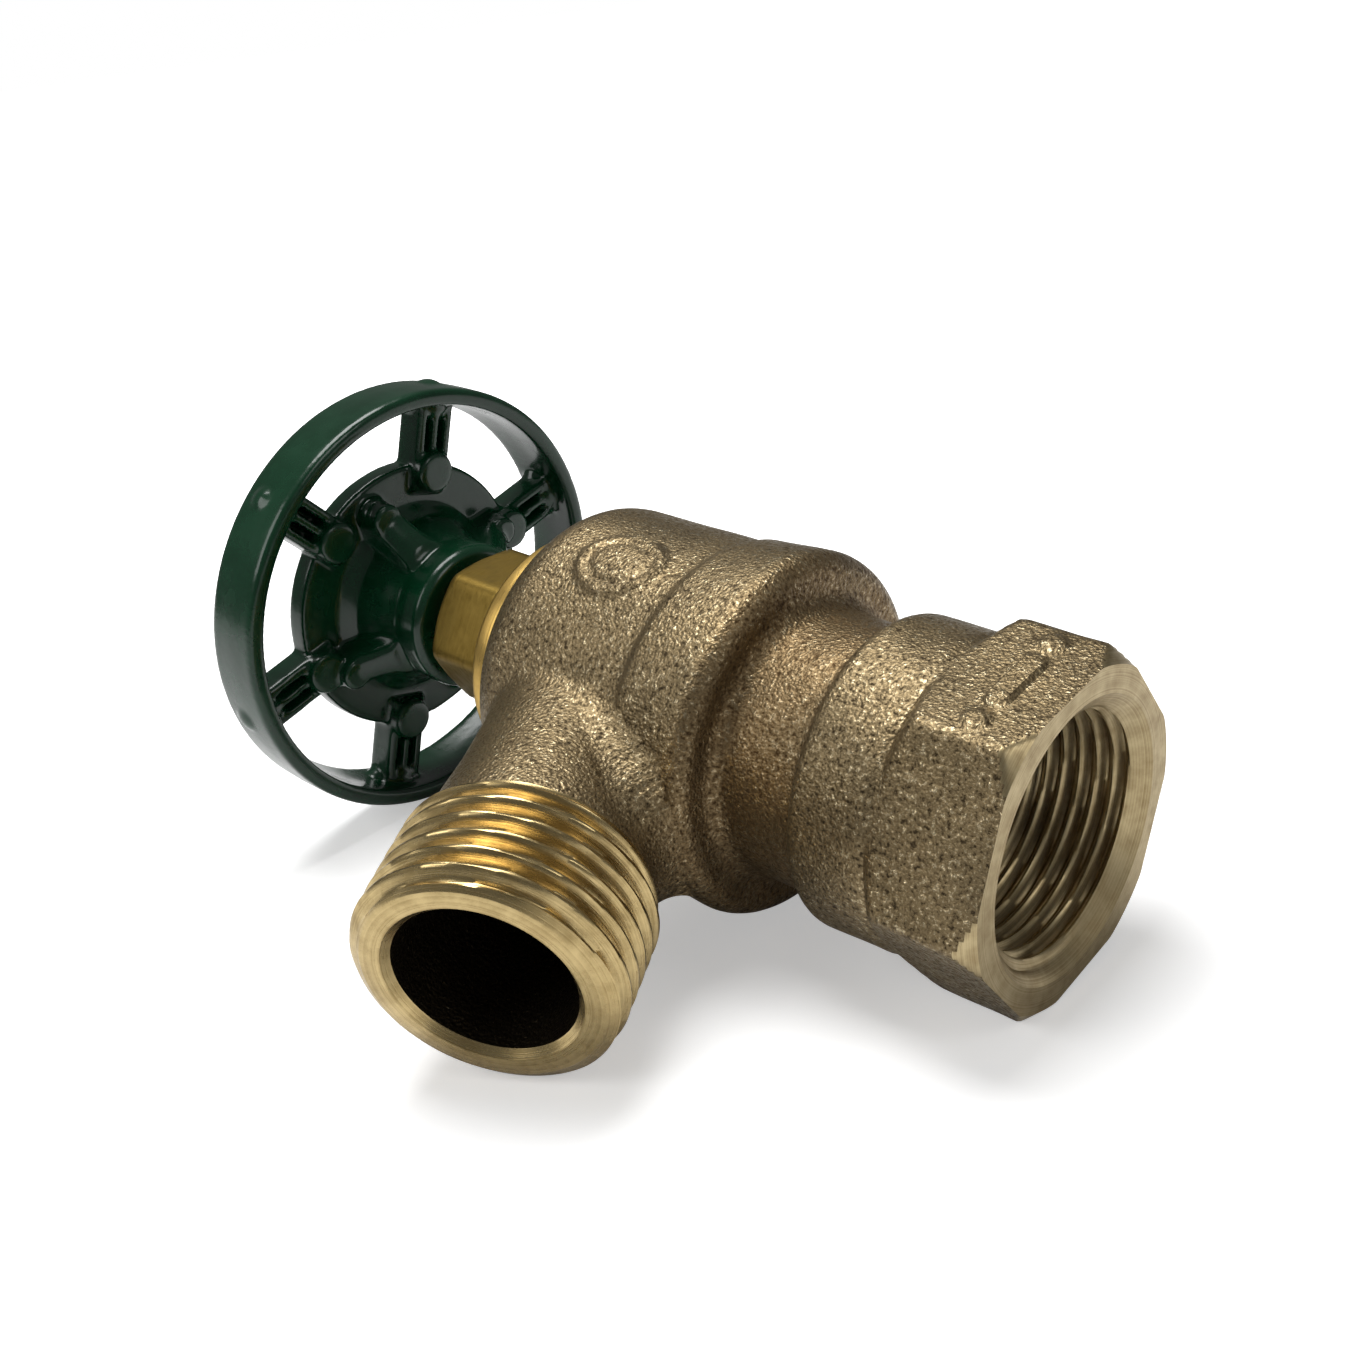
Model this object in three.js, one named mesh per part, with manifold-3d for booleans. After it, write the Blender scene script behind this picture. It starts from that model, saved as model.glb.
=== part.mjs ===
// Bronze angle globe valve with a threaded socket below, a hose outlet at the side and a handwheel.
// Millimetres. +Z runs up the stem, from the inlet end face at the origin to the handwheel.
// The outlet points to -Y and dips below the horizontal. The valve is drawn closed.
import * as THREE from 'three';
import { mergeVertices } from 'three/addons/utils/BufferGeometryUtils.js';
import Module from 'manifold-3d';

// Fits and clearances
const restGap = 0.3;            // between pieces that rest on or screw into each other
const slideGap = 0.35;          // round the stem where it slides
const turn = 2 * Math.PI;

// Inlet socket: 3/4 inch female pipe thread in a hexagon
const pipeMajorRadius = 13.1;
const pipeThreadDepth = 1.0;
const pipePitch = 1.814;
const pipeTurns = 6;
const pipeTaper = 1 / 32;       // loss of radius per millimetre of depth
const hexWall = 3.1;            // outside the thread, at the middle of a flat
const hexAcrossFlats = 2 * (pipeMajorRadius + hexWall);
const hexLength = 12.4;
const hexTurn = 3;              // degrees that the cast hexagon is off the outlet's plane
const hexChamfer = 1.9;         // width and depth of the turned chamfer on the corners
const hexBackRound = 1.3;
const socketMouthStep = 1.1;    // the bevelled mouth is this much wider than the thread
const socketMouthRadius = pipeMajorRadius + socketMouthStep;
const socketMouthDepth = 1.5;
const endFaceWidth = 2.8;
const endFaceRadius = socketMouthRadius + endFaceWidth; // turned; the flats cut it to less
const socketBoreStep = 1.4;
const socketBoreRadius = pipeMajorRadius - socketBoreStep;

// Body casting, heights along the stem axis
const collarWall = 3.3;
const collarRadius = pipeMajorRadius + collarWall;
const collarTop = 20.6;
const collarRound = 1.7;
const neckWall = 2.7;
const neckRadius = socketBoreRadius + neckWall;
const neckFillet = 2.2;
const bulgeFoot = 32.2;         // the flat shoulder above the neck
const bulgeRound = 2.3;
const bulgeTop = 42.0;
const barrelFoot = 42.9;
const bodyTop = 64.8;
const domeHeight = 5.3;
const domeFoot = bodyTop - domeHeight;

// Valve disc and its holder
const seatDiscRadius = 11.6;
const seatDiscThickness = 3.0;
const holderWall = 1.1;
const holderNeckWall = 1.5;
const holderRoof = 1.7;
const holderNutThickness = 2.2;
const holderNutAcrossFlats = 15.0;
const holderOuterRadius = seatDiscRadius + restGap + holderWall;
const discWasherRadius = 4.6;
const discWasherThickness = 0.8;
const discScrewRadius = 1.6;
const discScrewHeadAcrossFlats = 5.5;
const discScrewHeadHeight = 2.2;

// Inside of the body
const seatFace = 36.0;
const seatHeight = 2.6;         // of the raised seat ring above the chamber floor
const seatRingOverlap = 0.4;    // of the rubber disc past the seat ring
const seatRingRadius = seatDiscRadius - seatRingOverlap;
const seatRingWidth = 2.0;
const portRadius = seatRingRadius - seatRingWidth;
const discClearance = 1.2;      // for water, round the disc holder
const chamberRadius = holderOuterRadius + discClearance;
const socketFloor = 27.0;
const chamberWall = 4.3;
const barrelRadius = chamberRadius + chamberWall;
const bulgeStep = 1.1;
const bulgeRadius = barrelRadius + bulgeStep;
const bulgeDraft = 0.45;        // loss of radius from its foot to its top
const bulgeTopRadius = bulgeRadius - bulgeDraft;

// Outlet branch, lengths along its own axis from the stem axis
const outletBelowTop = 7.8;
const outletHeight = bodyTop - outletBelowTop; // where the outlet axis meets the stem axis
const outletDip = 25;           // degrees below the horizontal
const outletFace = 46.5;
const outletFaceRadius = 11.85;
const outletMouthRadius = 9.86;
const outletMouthBevel = 0.7;
const outletBoreRadius = 9.1;
const outletBoreDepth = 10.0;
const outletPassageRadius = 8.5;
const branchRootDepth = 5.5;
const branchRoot = barrelRadius - branchRootDepth; // its hidden start, in the wall of the barrel
const branchRadius = 11.7;
const branchEndRadius = 12.2;
const branchFilletBelow = 5.5;
const branchFilletAbove = 2.6;
const filletSink = 2.5;         // how far the fillet reaches inside what it joins
const hoseMajorRadius = 13.495; // 3/4 inch hose thread, 11.5 turns per inch
const hoseThreadDepth = 1.35;
const hosePitch = 2.209;
const hoseTurns = 5;
const hoseLeadIn = 1.15;        // from the first ridge to the end face

// Plain raised marks cast on the body: a bar between two dots on the hexagon, and an oval pad
const markHeight = 0.55;
const barLength = 8.0;
const barWidth = 2.2;
const dotRadius = 1.2;
const dotSpacing = 13.0;
const padLength = 10.4;
const padWidth = 8.6;
const padBelowTop = 13.8;
const padHeight = bodyTop - padBelowTop;
const padTurn = -8;             // degrees round the barrel

// Stem, and the square that the handwheel sits on
const stemRadius = 3.6;
const stemThreadDepth = 0.6;
const stemThreadStep = 1.0;     // the thread's crest is this much wider than the stem
const stemThreadRadius = stemRadius + stemThreadStep;
const stemThreadPitch = 2.2;    // also the lift of one turn
const stemThreadTurns = 6;
const stemNeckStep = 0.6;
const stemNeckRadius = stemRadius - stemNeckStep;
const stemButtonStep = 1.6;
const stemButtonRadius = stemRadius + stemButtonStep;
const stemButtonThickness = 1.8;
const squareStep = 1.0;
const stemSquare = 2 * (stemRadius - squareStep);
const screwHoleRadius = 1.7;
const screwHoleDepth = 7.0;

// Bonnet and packing
const bonnetThreadRadius = 12.0;
const bonnetThreadDepth = 5.6;
const flangeStep = 1.5;
const flangeRadius = bonnetThreadRadius + flangeStep;
const flangeThickness = 2.4;
const topFaceStep = 0.5;
const topFaceRadius = flangeRadius + topFaceStep;
const gasketThickness = 0.7;
const gasketBottom = bodyTop + restGap;
const flangeBottom = gasketBottom + gasketThickness + restGap;
const flangeTop = flangeBottom + flangeThickness;
const bonnetNoseWall = 3.0;
const bonnetNoseRadius = stemThreadRadius + bonnetNoseWall;
const bonnetNoseLength = 11.3;
const bonnetNoseBottom = bodyTop - bonnetNoseLength;
const packingWidth = 1.7;
const packingBoxRadius = stemRadius + packingWidth;
const packingBoxRise = 3.1;
const packingBoxFloor = flangeTop + packingBoxRise;
const bonnetNeckWall = 1.2;
const bonnetNeckRadius = packingBoxRadius + bonnetNeckWall;
const bonnetNeckLength = 8.5;
const bonnetNeckTop = flangeTop + bonnetNeckLength;
const packingWasherThickness = 0.8;
const packingRingThickness = 1.3;
const packingRings = 2;
const glandFlangeThickness = 1.4;
const nutWall = 1.7;
const nutAcrossFlats = 2 * (bonnetNeckRadius + nutWall);
const nutRise = 12.5;
const nutTop = flangeTop + nutRise;
const nutCapThickness = 1.6;
const nutFootGap = 0.5;
const nutTurn = 10;             // degrees round the stem

// Handwheel
const wheelRadius = 26.6;
const hubGap = 2.0;             // between the nut and the hub
const hubFoot = nutTop + hubGap;
const rimRise = 7.6;
const rimFoot = hubFoot + rimRise;
const rimHeight = 8.0;
const rimFootThickness = 2.0;
const rimTopThickness = 2.7;
const spokes = 6;
const spokeTurn = 27;           // degrees of the first spoke from +X
const spokeWidth = 5.2;
const spokeDepth = 4.0;
const spokeWall = 1.2;
const spokeRib = 0.9;
const spokeRoof = 1.4;
const wheelDiscRadius = 16.8;
const wheelDiscThickness = 3.0;
const wheelDiscRise = 11.3;
const wheelDiscFoot = hubFoot + wheelDiscRise;
const spokeTop = wheelDiscFoot + wheelDiscThickness;
const bossRadius = 2.5;
const bossDrop = 2.0;
const bossInset = 1.0;
const bossCircleRadius = wheelDiscRadius - bossInset;
const rimBumpRadius = 2.6;
const rimBumpHeight = 0.5;
const rimBumpDrop = 1.8;
const hubFootRadius = 8.9;
const hubFootLength = 4.0;
const hubWaistHeight = hubFoot + hubFootLength;
const hubWaistRadius = 8.6;
const hubRootRadius = 12.0;
const hubWebs = 4;
const hubWebTurn = -10;         // degrees of the first web from +X
const hubWebThickness = 4.2;
const hubWebRadius = 13.6;
const hubTopBossRadius = 7.0;
const hubLength = 15.0;
const hubTop = hubFoot + hubLength;
const wheelWasherRadius = 6.0;
const wheelWasherThickness = 1.2;
const wheelScrewHeadRadius = 4.0;
const wheelScrewHeadHeight = 2.6;
const screwSlotWidth = 1.0;
const screwSlotDepth = 1.1;
const screwSlotTurn = 35;

// Heights of the stem and of the disc, which depend on what is around them
const discBottom = seatFace + restGap;
const discTop = discBottom + seatDiscThickness;
const roofBottom = discTop + restGap;
const pocketFloor = roofBottom + holderRoof;
const stemButtonBottom = pocketFloor + restGap;
const holderNutBottom = stemButtonBottom + stemButtonThickness + restGap;
const holderNeckRadius = stemButtonRadius + slideGap + holderNeckWall;
const stemThreadDrop = 6.0;     // of the stem's thread below the bonnet when closed
const stemThreadFoot = bonnetNoseBottom - stemThreadDrop;
const squareRise = 5.0;
const stemShoulder = hubFoot + squareRise; // top of the round stem, foot of the square
const stemTopDrop = 1.4;        // the square stays this far below the top of the hub
const stemTop = hubTop - stemTopDrop;

const wasm = await Module();
wasm.setup();

// ---- geometry helpers ----

function solid(geometry) {
  const bare = geometry.clone();
  bare.deleteAttribute('normal');
  bare.deleteAttribute('uv');
  const welded = mergeVertices(bare, 1e-4);
  const points = welded.attributes.position.array;
  const faces = Uint32Array.from(welded.index.array);
  if (signedVolume(points, faces) < 0) {
    for (let i = 0; i < faces.length; i += 3) {
      [faces[i + 1], faces[i + 2]] = [faces[i + 2], faces[i + 1]];
    }
  }
  const kept = [];
  for (let i = 0; i < faces.length; i += 3) {
    const [a, b, c] = [faces[i], faces[i + 1], faces[i + 2]];
    if (a !== b && b !== c && c !== a) {
      kept.push(a, b, c);
    }
  }
  const mesh = new wasm.Mesh({
    numProp: 3,
    vertProperties: Float32Array.from(points),
    triVerts: Uint32Array.from(kept),
  });
  return new wasm.Manifold(mesh);
}

function signedVolume(points, faces) {
  let volume = 0;
  const corner = (i) => new THREE.Vector3().fromArray(points, 3 * faces[i]);
  for (let i = 0; i < faces.length; i += 3) {
    volume += corner(i).dot(corner(i + 1).cross(corner(i + 2)));
  }
  return volume / 6;
}

function geometryOf(manifold) {
  const mesh = manifold.getMesh();
  const geometry = new THREE.BufferGeometry();
  const points = new Float32Array(mesh.numVert * 3);
  for (let i = 0; i < mesh.numVert; i += 1) {
    for (let k = 0; k < 3; k += 1) {
      points[3 * i + k] = mesh.vertProperties[mesh.numProp * i + k];
    }
  }
  geometry.setAttribute('position', new THREE.BufferAttribute(points, 3));
  geometry.setIndex(new THREE.BufferAttribute(Uint32Array.from(mesh.triVerts), 1));
  const split = geometry.toNonIndexed();
  split.computeVertexNormals();
  return split;
}

function unionOf(parts) {
  return parts.reduce((whole, part) => whole.add(part));
}

// A turned solid: the profile is [radius, height] pairs that start and end on the axis.
function turned(profile, segments) {
  const points = profile.map(([r, z]) => new THREE.Vector2(r, z));
  const geometry = new THREE.LatheGeometry(points, segments);
  geometry.rotateX(Math.PI / 2);
  return solid(geometry);
}

function cylinder(radius, bottom, top, segments) {
  return turned([[0, bottom], [radius, bottom], [radius, top], [0, top]], segments);
}

function ring(inner, outer, bottom, top, segments) {
  return turned([[inner, bottom], [outer, bottom], [outer, top], [inner, top], [inner, bottom]], segments);
}

function box(width, depth, bottom, top) {
  const geometry = new THREE.BoxGeometry(width, depth, top - bottom);
  geometry.translate(0, 0, (top + bottom) / 2);
  return solid(geometry);
}

function hexagon(acrossFlats, bottom, top) {
  const corner = acrossFlats / 2 / Math.cos(Math.PI / 6);
  const geometry = new THREE.CylinderGeometry(corner, corner, top - bottom, 6);
  geometry.rotateX(Math.PI / 2);
  geometry.translate(0, 0, (top + bottom) / 2);
  return solid(geometry);
}

// Points on part of an ellipse, angles in degrees from the outward radius.
function arc(centreRadius, centreHeight, reachOut, reachUp, from, to, steps) {
  const points = [];
  for (let i = 0; i <= steps; i += 1) {
    const angle = THREE.MathUtils.degToRad(from + (to - from) * i / steps);
    points.push([centreRadius + reachOut * Math.cos(angle), centreHeight + reachUp * Math.sin(angle)]);
  }
  return points;
}

function mesh(name, manifold, material) {
  const part = new THREE.Mesh(geometryOf(manifold), material);
  part.name = name;
  return part;
}

// ---- materials ----

const castBronze = () => new THREE.MeshStandardMaterial({ color: 0x766649, roughness: 0.55, metalness: 0.85 });
const turnedBrass = () => new THREE.MeshStandardMaterial({ color: 0x94702e, roughness: 0.35, metalness: 0.95 });
const nutBrass = () => new THREE.MeshStandardMaterial({ color: 0x7c6630, roughness: 0.45, metalness: 0.9 });
const innerBrass = () => new THREE.MeshStandardMaterial({ color: 0xa08a55, roughness: 0.35, metalness: 0.9 });
const greenPaint = () => new THREE.MeshStandardMaterial({ color: 0x0f3021, roughness: 0.25, metalness: 0.0 });
const blackRubber = () => new THREE.MeshStandardMaterial({ color: 0x161616, roughness: 0.8, metalness: 0.0 });
const greyFibre = () => new THREE.MeshStandardMaterial({ color: 0x4d4a42, roughness: 0.9, metalness: 0.0 });
const graphite = () => new THREE.MeshStandardMaterial({ color: 0x2c2c2e, roughness: 0.7, metalness: 0.1 });
const zincSteel = () => new THREE.MeshStandardMaterial({ color: 0xa9abad, roughness: 0.35, metalness: 0.9 });

// ---- valve body ----

function castProfile() {
  const domeReach = barrelRadius - topFaceRadius + 0.9;
  const bulgeCentre = bulgeRadius - bulgeRound;
  const filletCentre = neckRadius + neckFillet;
  return [
    [collarRadius - 0.5, hexLength - 1.2],
    [collarRadius - 0.5, hexLength],
    [collarRadius, hexLength + 1.2],
    ...arc(collarRadius - collarRound, collarTop, collarRound, collarRound, 0, 75, 4),
    [neckRadius, collarTop + collarRound],
    ...arc(filletCentre, bulgeFoot - neckFillet, neckFillet, neckFillet, 180, 96, 4),
    ...arc(bulgeCentre, bulgeFoot + bulgeRound, bulgeRound, bulgeRound, -84, 0, 4),
    [bulgeTopRadius, bulgeTop],
    [barrelRadius, barrelFoot],
    ...arc(topFaceRadius - 0.9, domeFoot, domeReach, bodyTop - domeFoot, 0, 80, 6),
    [topFaceRadius, bodyTop],
  ];
}

function bodyOfRevolution() {
  return turned([[0, hexLength - 1.2], ...castProfile(), [0, bodyTop]], 40);
}

// The nearest point of the cast profile to a point [radius, height], and the signed distance
// to it, which is negative inside.
function nearestOnCast(radius, height) {
  const profile = castProfile();
  const point = new THREE.Vector3(radius, height, 0);
  let best = { distance: Infinity };
  let outlineRadius = 0;
  for (let i = 0; i + 1 < profile.length; i += 1) {
    const [from, to] = [profile[i], profile[i + 1]];
    const edge = new THREE.Line3(new THREE.Vector3(...from, 0), new THREE.Vector3(...to, 0));
    const foot = edge.closestPointToPoint(point, true, new THREE.Vector3());
    if (foot.distanceTo(point) < best.distance) {
      best = { distance: foot.distanceTo(point), foot };
    }
    if (from[1] <= height && height < to[1]) {
      const share = (height - from[1]) / (to[1] - from[1]);
      outlineRadius = Math.max(outlineRadius, from[0] + share * (to[0] - from[0]));
    }
  }
  return { foot: best.foot, signed: radius < outlineRadius ? -best.distance : best.distance };
}

function hexagonEnd() {
  const corner = hexAcrossFlats / 2 / Math.cos(Math.PI / 6);
  const prism = hexagon(hexAcrossFlats, 0, hexLength);
  const envelope = turned([
    [0, 0],
    [endFaceRadius, 0],
    [endFaceRadius + hexChamfer, hexChamfer],
    [corner + 0.2, hexChamfer + 0.2],
    [corner + 0.2, hexLength - hexBackRound],
    [corner - 0.6, hexLength - 0.4],
    [corner - hexBackRound - 0.6, hexLength],
    [0, hexLength],
  ], 40);
  return prism.rotate([0, 0, hexTurn]).intersect(envelope);
}

// Ridges of a thread drawn as rings: [radius, distance] pairs for one ridge after the other.
function threadRidges(major, depth, pitch, count, first, taper) {
  const points = [];
  for (let i = 0; i < count; i += 1) {
    const crest = first + i * pitch;
    const radius = major - taper * i * pitch;
    points.push([radius - depth, crest - pitch * 0.4]);
    points.push([radius, crest - pitch * 0.1]);
    points.push([radius, crest + pitch * 0.1]);
    points.push([radius - depth, crest + pitch * 0.4]);
  }
  return points;
}

function toOutlet(manifold) {
  return manifold.rotate([90 + outletDip, 0, 0]).translate([0, 0, outletHeight]);
}

function branchOutside() {
  const lastCrest = outletFace - hoseLeadIn;
  const firstCrest = lastCrest - (hoseTurns - 1) * hosePitch;
  const threadFoot = firstCrest - hosePitch * 0.4;
  const root = hoseMajorRadius - hoseThreadDepth;
  return turned([
    [0, branchRoot],
    [branchRadius, branchRoot],
    [branchRadius, (barrelRadius + threadFoot) / 2],
    [branchEndRadius, threadFoot - 0.5],
    [root, threadFoot - 0.2],
    ...threadRidges(hoseMajorRadius, hoseThreadDepth, hosePitch, hoseTurns, firstCrest, 0).slice(0, -1),
    [outletFaceRadius, outletFace],
    [0, outletFace],
  ], 32);
}

// A ball of the fillet's size rolls round the branch, touching it and the cast body. Each cross
// section runs from its touch on the body along the ball to its touch on the branch, and closes
// inside both.
function branchFillet() {
  const dip = THREE.MathUtils.degToRad(outletDip);
  const start = new THREE.Vector3(0, 0, outletHeight);
  const along = new THREE.Vector3(0, -Math.cos(dip), -Math.sin(dip));
  const up = new THREE.Vector3(0, -Math.sin(dip), Math.cos(dip));
  const across = new THREE.Vector3(1, 0, 0);
  const steps = 36;
  const arcSteps = 4;
  const farEnd = 40;
  const points = [];
  const bodySide = (point) => nearestOnCast(Math.hypot(point.x, point.y), point.z);
  for (let i = 0; i < steps; i += 1) {
    const angle = turn * i / steps;
    const side = across.clone().multiplyScalar(Math.cos(angle)).addScaledVector(up, Math.sin(angle));
    const share = (1 + Math.sin(angle)) / 2;
    const ball = branchFilletBelow + share * (branchFilletAbove - branchFilletBelow);
    const place = (radius, clearance) => {
      const point = start.clone().addScaledVector(side, radius).addScaledVector(along, farEnd);
      while (bodySide(point).signed > clearance) {
        point.addScaledVector(along, -0.02);
      }
      return point;
    };
    const centre = place(branchRadius + ball, ball);
    const corner = place(branchRadius - filletSink, -filletSink);
    const { foot } = bodySide(centre);
    const level = Math.hypot(centre.x, centre.y);
    const onBody = new THREE.Vector3(centre.x * foot.x / level, centre.y * foot.x / level, foot.y);
    const fromBody = onBody.clone().sub(centre).normalize();
    const fromBranch = side.clone().negate();
    const spread = fromBody.angleTo(fromBranch);
    points.push(corner, centre.clone().addScaledVector(fromBody, ball + filletSink));
    for (let k = 0; k <= arcSteps; k += 1) {
      const toBody = Math.sin((1 - k / arcSteps) * spread) / Math.sin(spread);
      const toBranch = Math.sin(k / arcSteps * spread) / Math.sin(spread);
      const out = fromBody.clone().multiplyScalar(toBody).addScaledVector(fromBranch, toBranch);
      points.push(centre.clone().addScaledVector(out, ball));
    }
    points.push(centre.clone().addScaledVector(fromBranch, ball + filletSink));
  }
  return loopOfSections(points, arcSteps + 4);
}

// A closed ring through equal cross sections, given one after the other.
function loopOfSections(points, size) {
  const sections = points.length / size;
  const faces = [];
  for (let i = 0; i < sections; i += 1) {
    for (let k = 0; k < size; k += 1) {
      const here = i * size;
      const next = ((i + 1) % sections) * size;
      const after = (k + 1) % size;
      faces.push(here + k, here + after, next + after, here + k, next + after, next + k);
    }
  }
  const geometry = new THREE.BufferGeometry().setFromPoints(points);
  geometry.setIndex(faces);
  return solid(geometry);
}

function branchInside() {
  return turned([
    [0, 0],
    [outletPassageRadius, 0],
    [outletPassageRadius, outletFace - outletBoreDepth - 1],
    [outletBoreRadius, outletFace - outletBoreDepth],
    [outletBoreRadius, outletFace - outletMouthBevel],
    [outletMouthRadius, outletFace],
    [outletMouthRadius, outletFace + 2],
    [0, outletFace + 2],
  ], 32);
}

function socketInside() {
  const start = socketMouthDepth + pipePitch * 0.5;
  return turned([
    [0, -2],
    [socketMouthRadius, -2],
    [socketMouthRadius, 0],
    [pipeMajorRadius - pipeThreadDepth, socketMouthDepth],
    ...threadRidges(pipeMajorRadius, pipeThreadDepth, pipePitch, pipeTurns, start, pipeTaper),
    [socketBoreRadius, start + pipeTurns * pipePitch],
    [socketBoreRadius, socketFloor - 1.5],
    [portRadius, socketFloor],
    [portRadius, seatFace + 1],
    [0, seatFace + 1],
  ], 28);
}

function chamberInside() {
  const threadBore = bonnetThreadRadius + restGap;
  const chamberFloor = seatFace - seatHeight;
  const chamber = turned([
    [0, chamberFloor],
    [chamberRadius - 1.2, chamberFloor],
    [chamberRadius, chamberFloor + 1.2],
    [chamberRadius, bodyTop - bonnetThreadDepth - 1.6],
    [threadBore, bodyTop - bonnetThreadDepth - 0.2],
    [threadBore, bodyTop - 0.6],
    [threadBore + 0.6, bodyTop],
    [threadBore + 0.6, bodyTop + 2],
    [0, bodyTop + 2],
  ], 36);
  const seat = turned([
    [0, chamberFloor - 2],
    [seatRingRadius, chamberFloor - 2],
    [seatRingRadius, seatFace - 0.5],
    [seatRingRadius - 0.5, seatFace],
    [0, seatFace],
  ], 36);
  return chamber.subtract(seat);
}

// A plate whose outline is drawn as (across, up), facing out along +X from a face at that distance.
function raisedMark(shape, faceDistance, height, depth) {
  const geometry = new THREE.ExtrudeGeometry(shape, { depth, bevelEnabled: false, curveSegments: 8 });
  geometry.rotateX(Math.PI / 2);
  geometry.rotateZ(Math.PI / 2);
  geometry.translate(faceDistance + markHeight - depth, 0, height);
  return solid(geometry);
}

function roundBar(length, width) {
  const shape = new THREE.Shape();
  const straight = (length - width) / 2;
  shape.absarc(straight, 0, width / 2, -Math.PI / 2, Math.PI / 2, false);
  shape.absarc(-straight, 0, width / 2, Math.PI / 2, Math.PI * 1.5, false);
  shape.closePath();
  return shape;
}

function dot(offset) {
  const shape = new THREE.Shape();
  shape.absarc(offset, 0, dotRadius, 0, turn, false);
  return shape;
}

function castMarks() {
  const markDepth = markHeight + 1;
  const flat = hexAcrossFlats / 2;
  const marks = [roundBar(barLength, barWidth), dot(dotSpacing / 2), dot(-dotSpacing / 2)];
  const onHexagon = marks.map((shape) => raisedMark(shape, flat, hexLength / 2 - 0.4, markDepth));
  const pad = new THREE.Shape();
  pad.absellipse(0, 0, padWidth / 2, padLength / 2, 0, turn, false, 0);
  const padDepth = 4;
  const skin = cylinder(barrelRadius + markHeight, padHeight - padLength, padHeight + padLength, 60);
  const onBarrel = raisedMark(pad, barrelRadius + 1, padHeight, padDepth).intersect(skin);
  return unionOf(onHexagon).rotate([0, 0, hexTurn]).add(onBarrel.rotate([0, 0, padTurn]));
}

function valveBody() {
  const outside = unionOf([
    bodyOfRevolution(), hexagonEnd(), toOutlet(branchOutside()), branchFillet(), castMarks()]);
  const inside = unionOf([socketInside(), chamberInside(), toOutlet(branchInside())]);
  return mesh('valve_body', outside.subtract(inside), castBronze());
}

// ---- bonnet, gasket and packing ----

function bonnet() {
  const threadBottom = bodyTop - bonnetThreadDepth + restGap;
  const threadClearance = stemThreadRadius + slideGap;
  const stemClearance = stemRadius + slideGap;
  const outside = turned([
    [0, bonnetNoseBottom],
    [bonnetNoseRadius - 0.8, bonnetNoseBottom],
    [bonnetNoseRadius, bonnetNoseBottom + 0.8],
    [bonnetNoseRadius, threadBottom],
    [bonnetThreadRadius - 0.6, threadBottom],
    [bonnetThreadRadius, threadBottom + 0.6],
    [bonnetThreadRadius, flangeBottom],
    [flangeRadius, flangeBottom],
    [flangeRadius, flangeTop - 0.4],
    [flangeRadius - 0.4, flangeTop],
    [bonnetNeckRadius, flangeTop],
    [bonnetNeckRadius, bonnetNeckTop - 0.4],
    [bonnetNeckRadius - 0.4, bonnetNeckTop],
    [0, bonnetNeckTop],
  ], 36);
  const inside = turned([
    [0, bonnetNoseBottom - 1],
    [threadClearance, bonnetNoseBottom - 1],
    [threadClearance, packingBoxFloor - 2.2],
    [stemClearance, packingBoxFloor - 1.4],
    [stemClearance, packingBoxFloor],
    [packingBoxRadius, packingBoxFloor],
    [packingBoxRadius, bonnetNeckTop + 1],
    [0, bonnetNeckTop + 1],
  ], 24);
  return mesh('bonnet', outside.subtract(inside), turnedBrass());
}

function bonnetGasket() {
  const inner = bonnetThreadRadius + restGap;
  return mesh('bonnet_gasket', ring(inner, flangeRadius - 0.2, gasketBottom, gasketBottom + gasketThickness, 36),
    greyFibre());
}

const packingInner = stemRadius + slideGap;
const packingOuter = packingBoxRadius - restGap;
const packingWasherBottom = packingBoxFloor + restGap;
const packingStart = packingWasherBottom + packingWasherThickness + restGap;
const packingStep = packingRingThickness + restGap;
const glandBottom = packingStart + packingRings * packingStep;
const glandFlangeBottom = bonnetNeckTop + restGap;
const glandTop = glandFlangeBottom + glandFlangeThickness;

function packingWasher() {
  const top = packingWasherBottom + packingWasherThickness;
  return mesh('packing_washer', ring(packingInner, packingOuter, packingWasherBottom, top, 24), innerBrass());
}

function packingRing(index) {
  const bottom = packingStart + index * packingStep;
  return mesh(`packing_ring_${index + 1}`,
    ring(packingInner, packingOuter, bottom, bottom + packingRingThickness, 24), graphite());
}

function packingGland() {
  const profile = [
    [packingInner, glandBottom],
    [packingOuter, glandBottom],
    [packingOuter, glandFlangeBottom],
    [bonnetNeckRadius - 0.3, glandFlangeBottom],
    [bonnetNeckRadius - 0.3, glandTop],
    [packingInner, glandTop],
    [packingInner, glandBottom],
  ];
  return mesh('packing_gland', turned(profile, 24), innerBrass());
}

function packingNut() {
  const bottom = flangeTop + nutFootGap;
  const corner = nutAcrossFlats / 2 / Math.cos(Math.PI / 6);
  const envelope = turned([
    [0, bottom],
    [corner - 0.8, bottom],
    [corner + 0.1, bottom + 0.7],
    [corner + 0.1, nutTop - 1.6],
    [corner - 0.5, nutTop - 0.6],
    [corner - 1.5, nutTop],
    [0, nutTop],
  ], 36);
  const hexagonal = hexagon(nutAcrossFlats, bottom, nutTop).rotate([0, 0, nutTurn]).intersect(envelope);
  const bore = turned([
    [0, bottom - 1],
    [bonnetNeckRadius + restGap, bottom - 1],
    [bonnetNeckRadius + restGap, nutTop - nutCapThickness],
    [stemRadius + slideGap, nutTop - nutCapThickness],
    [stemRadius + slideGap, nutTop + 1],
    [0, nutTop + 1],
  ], 24);
  return mesh('packing_nut', hexagonal.subtract(bore), nutBrass());
}

// ---- stem ----

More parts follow.
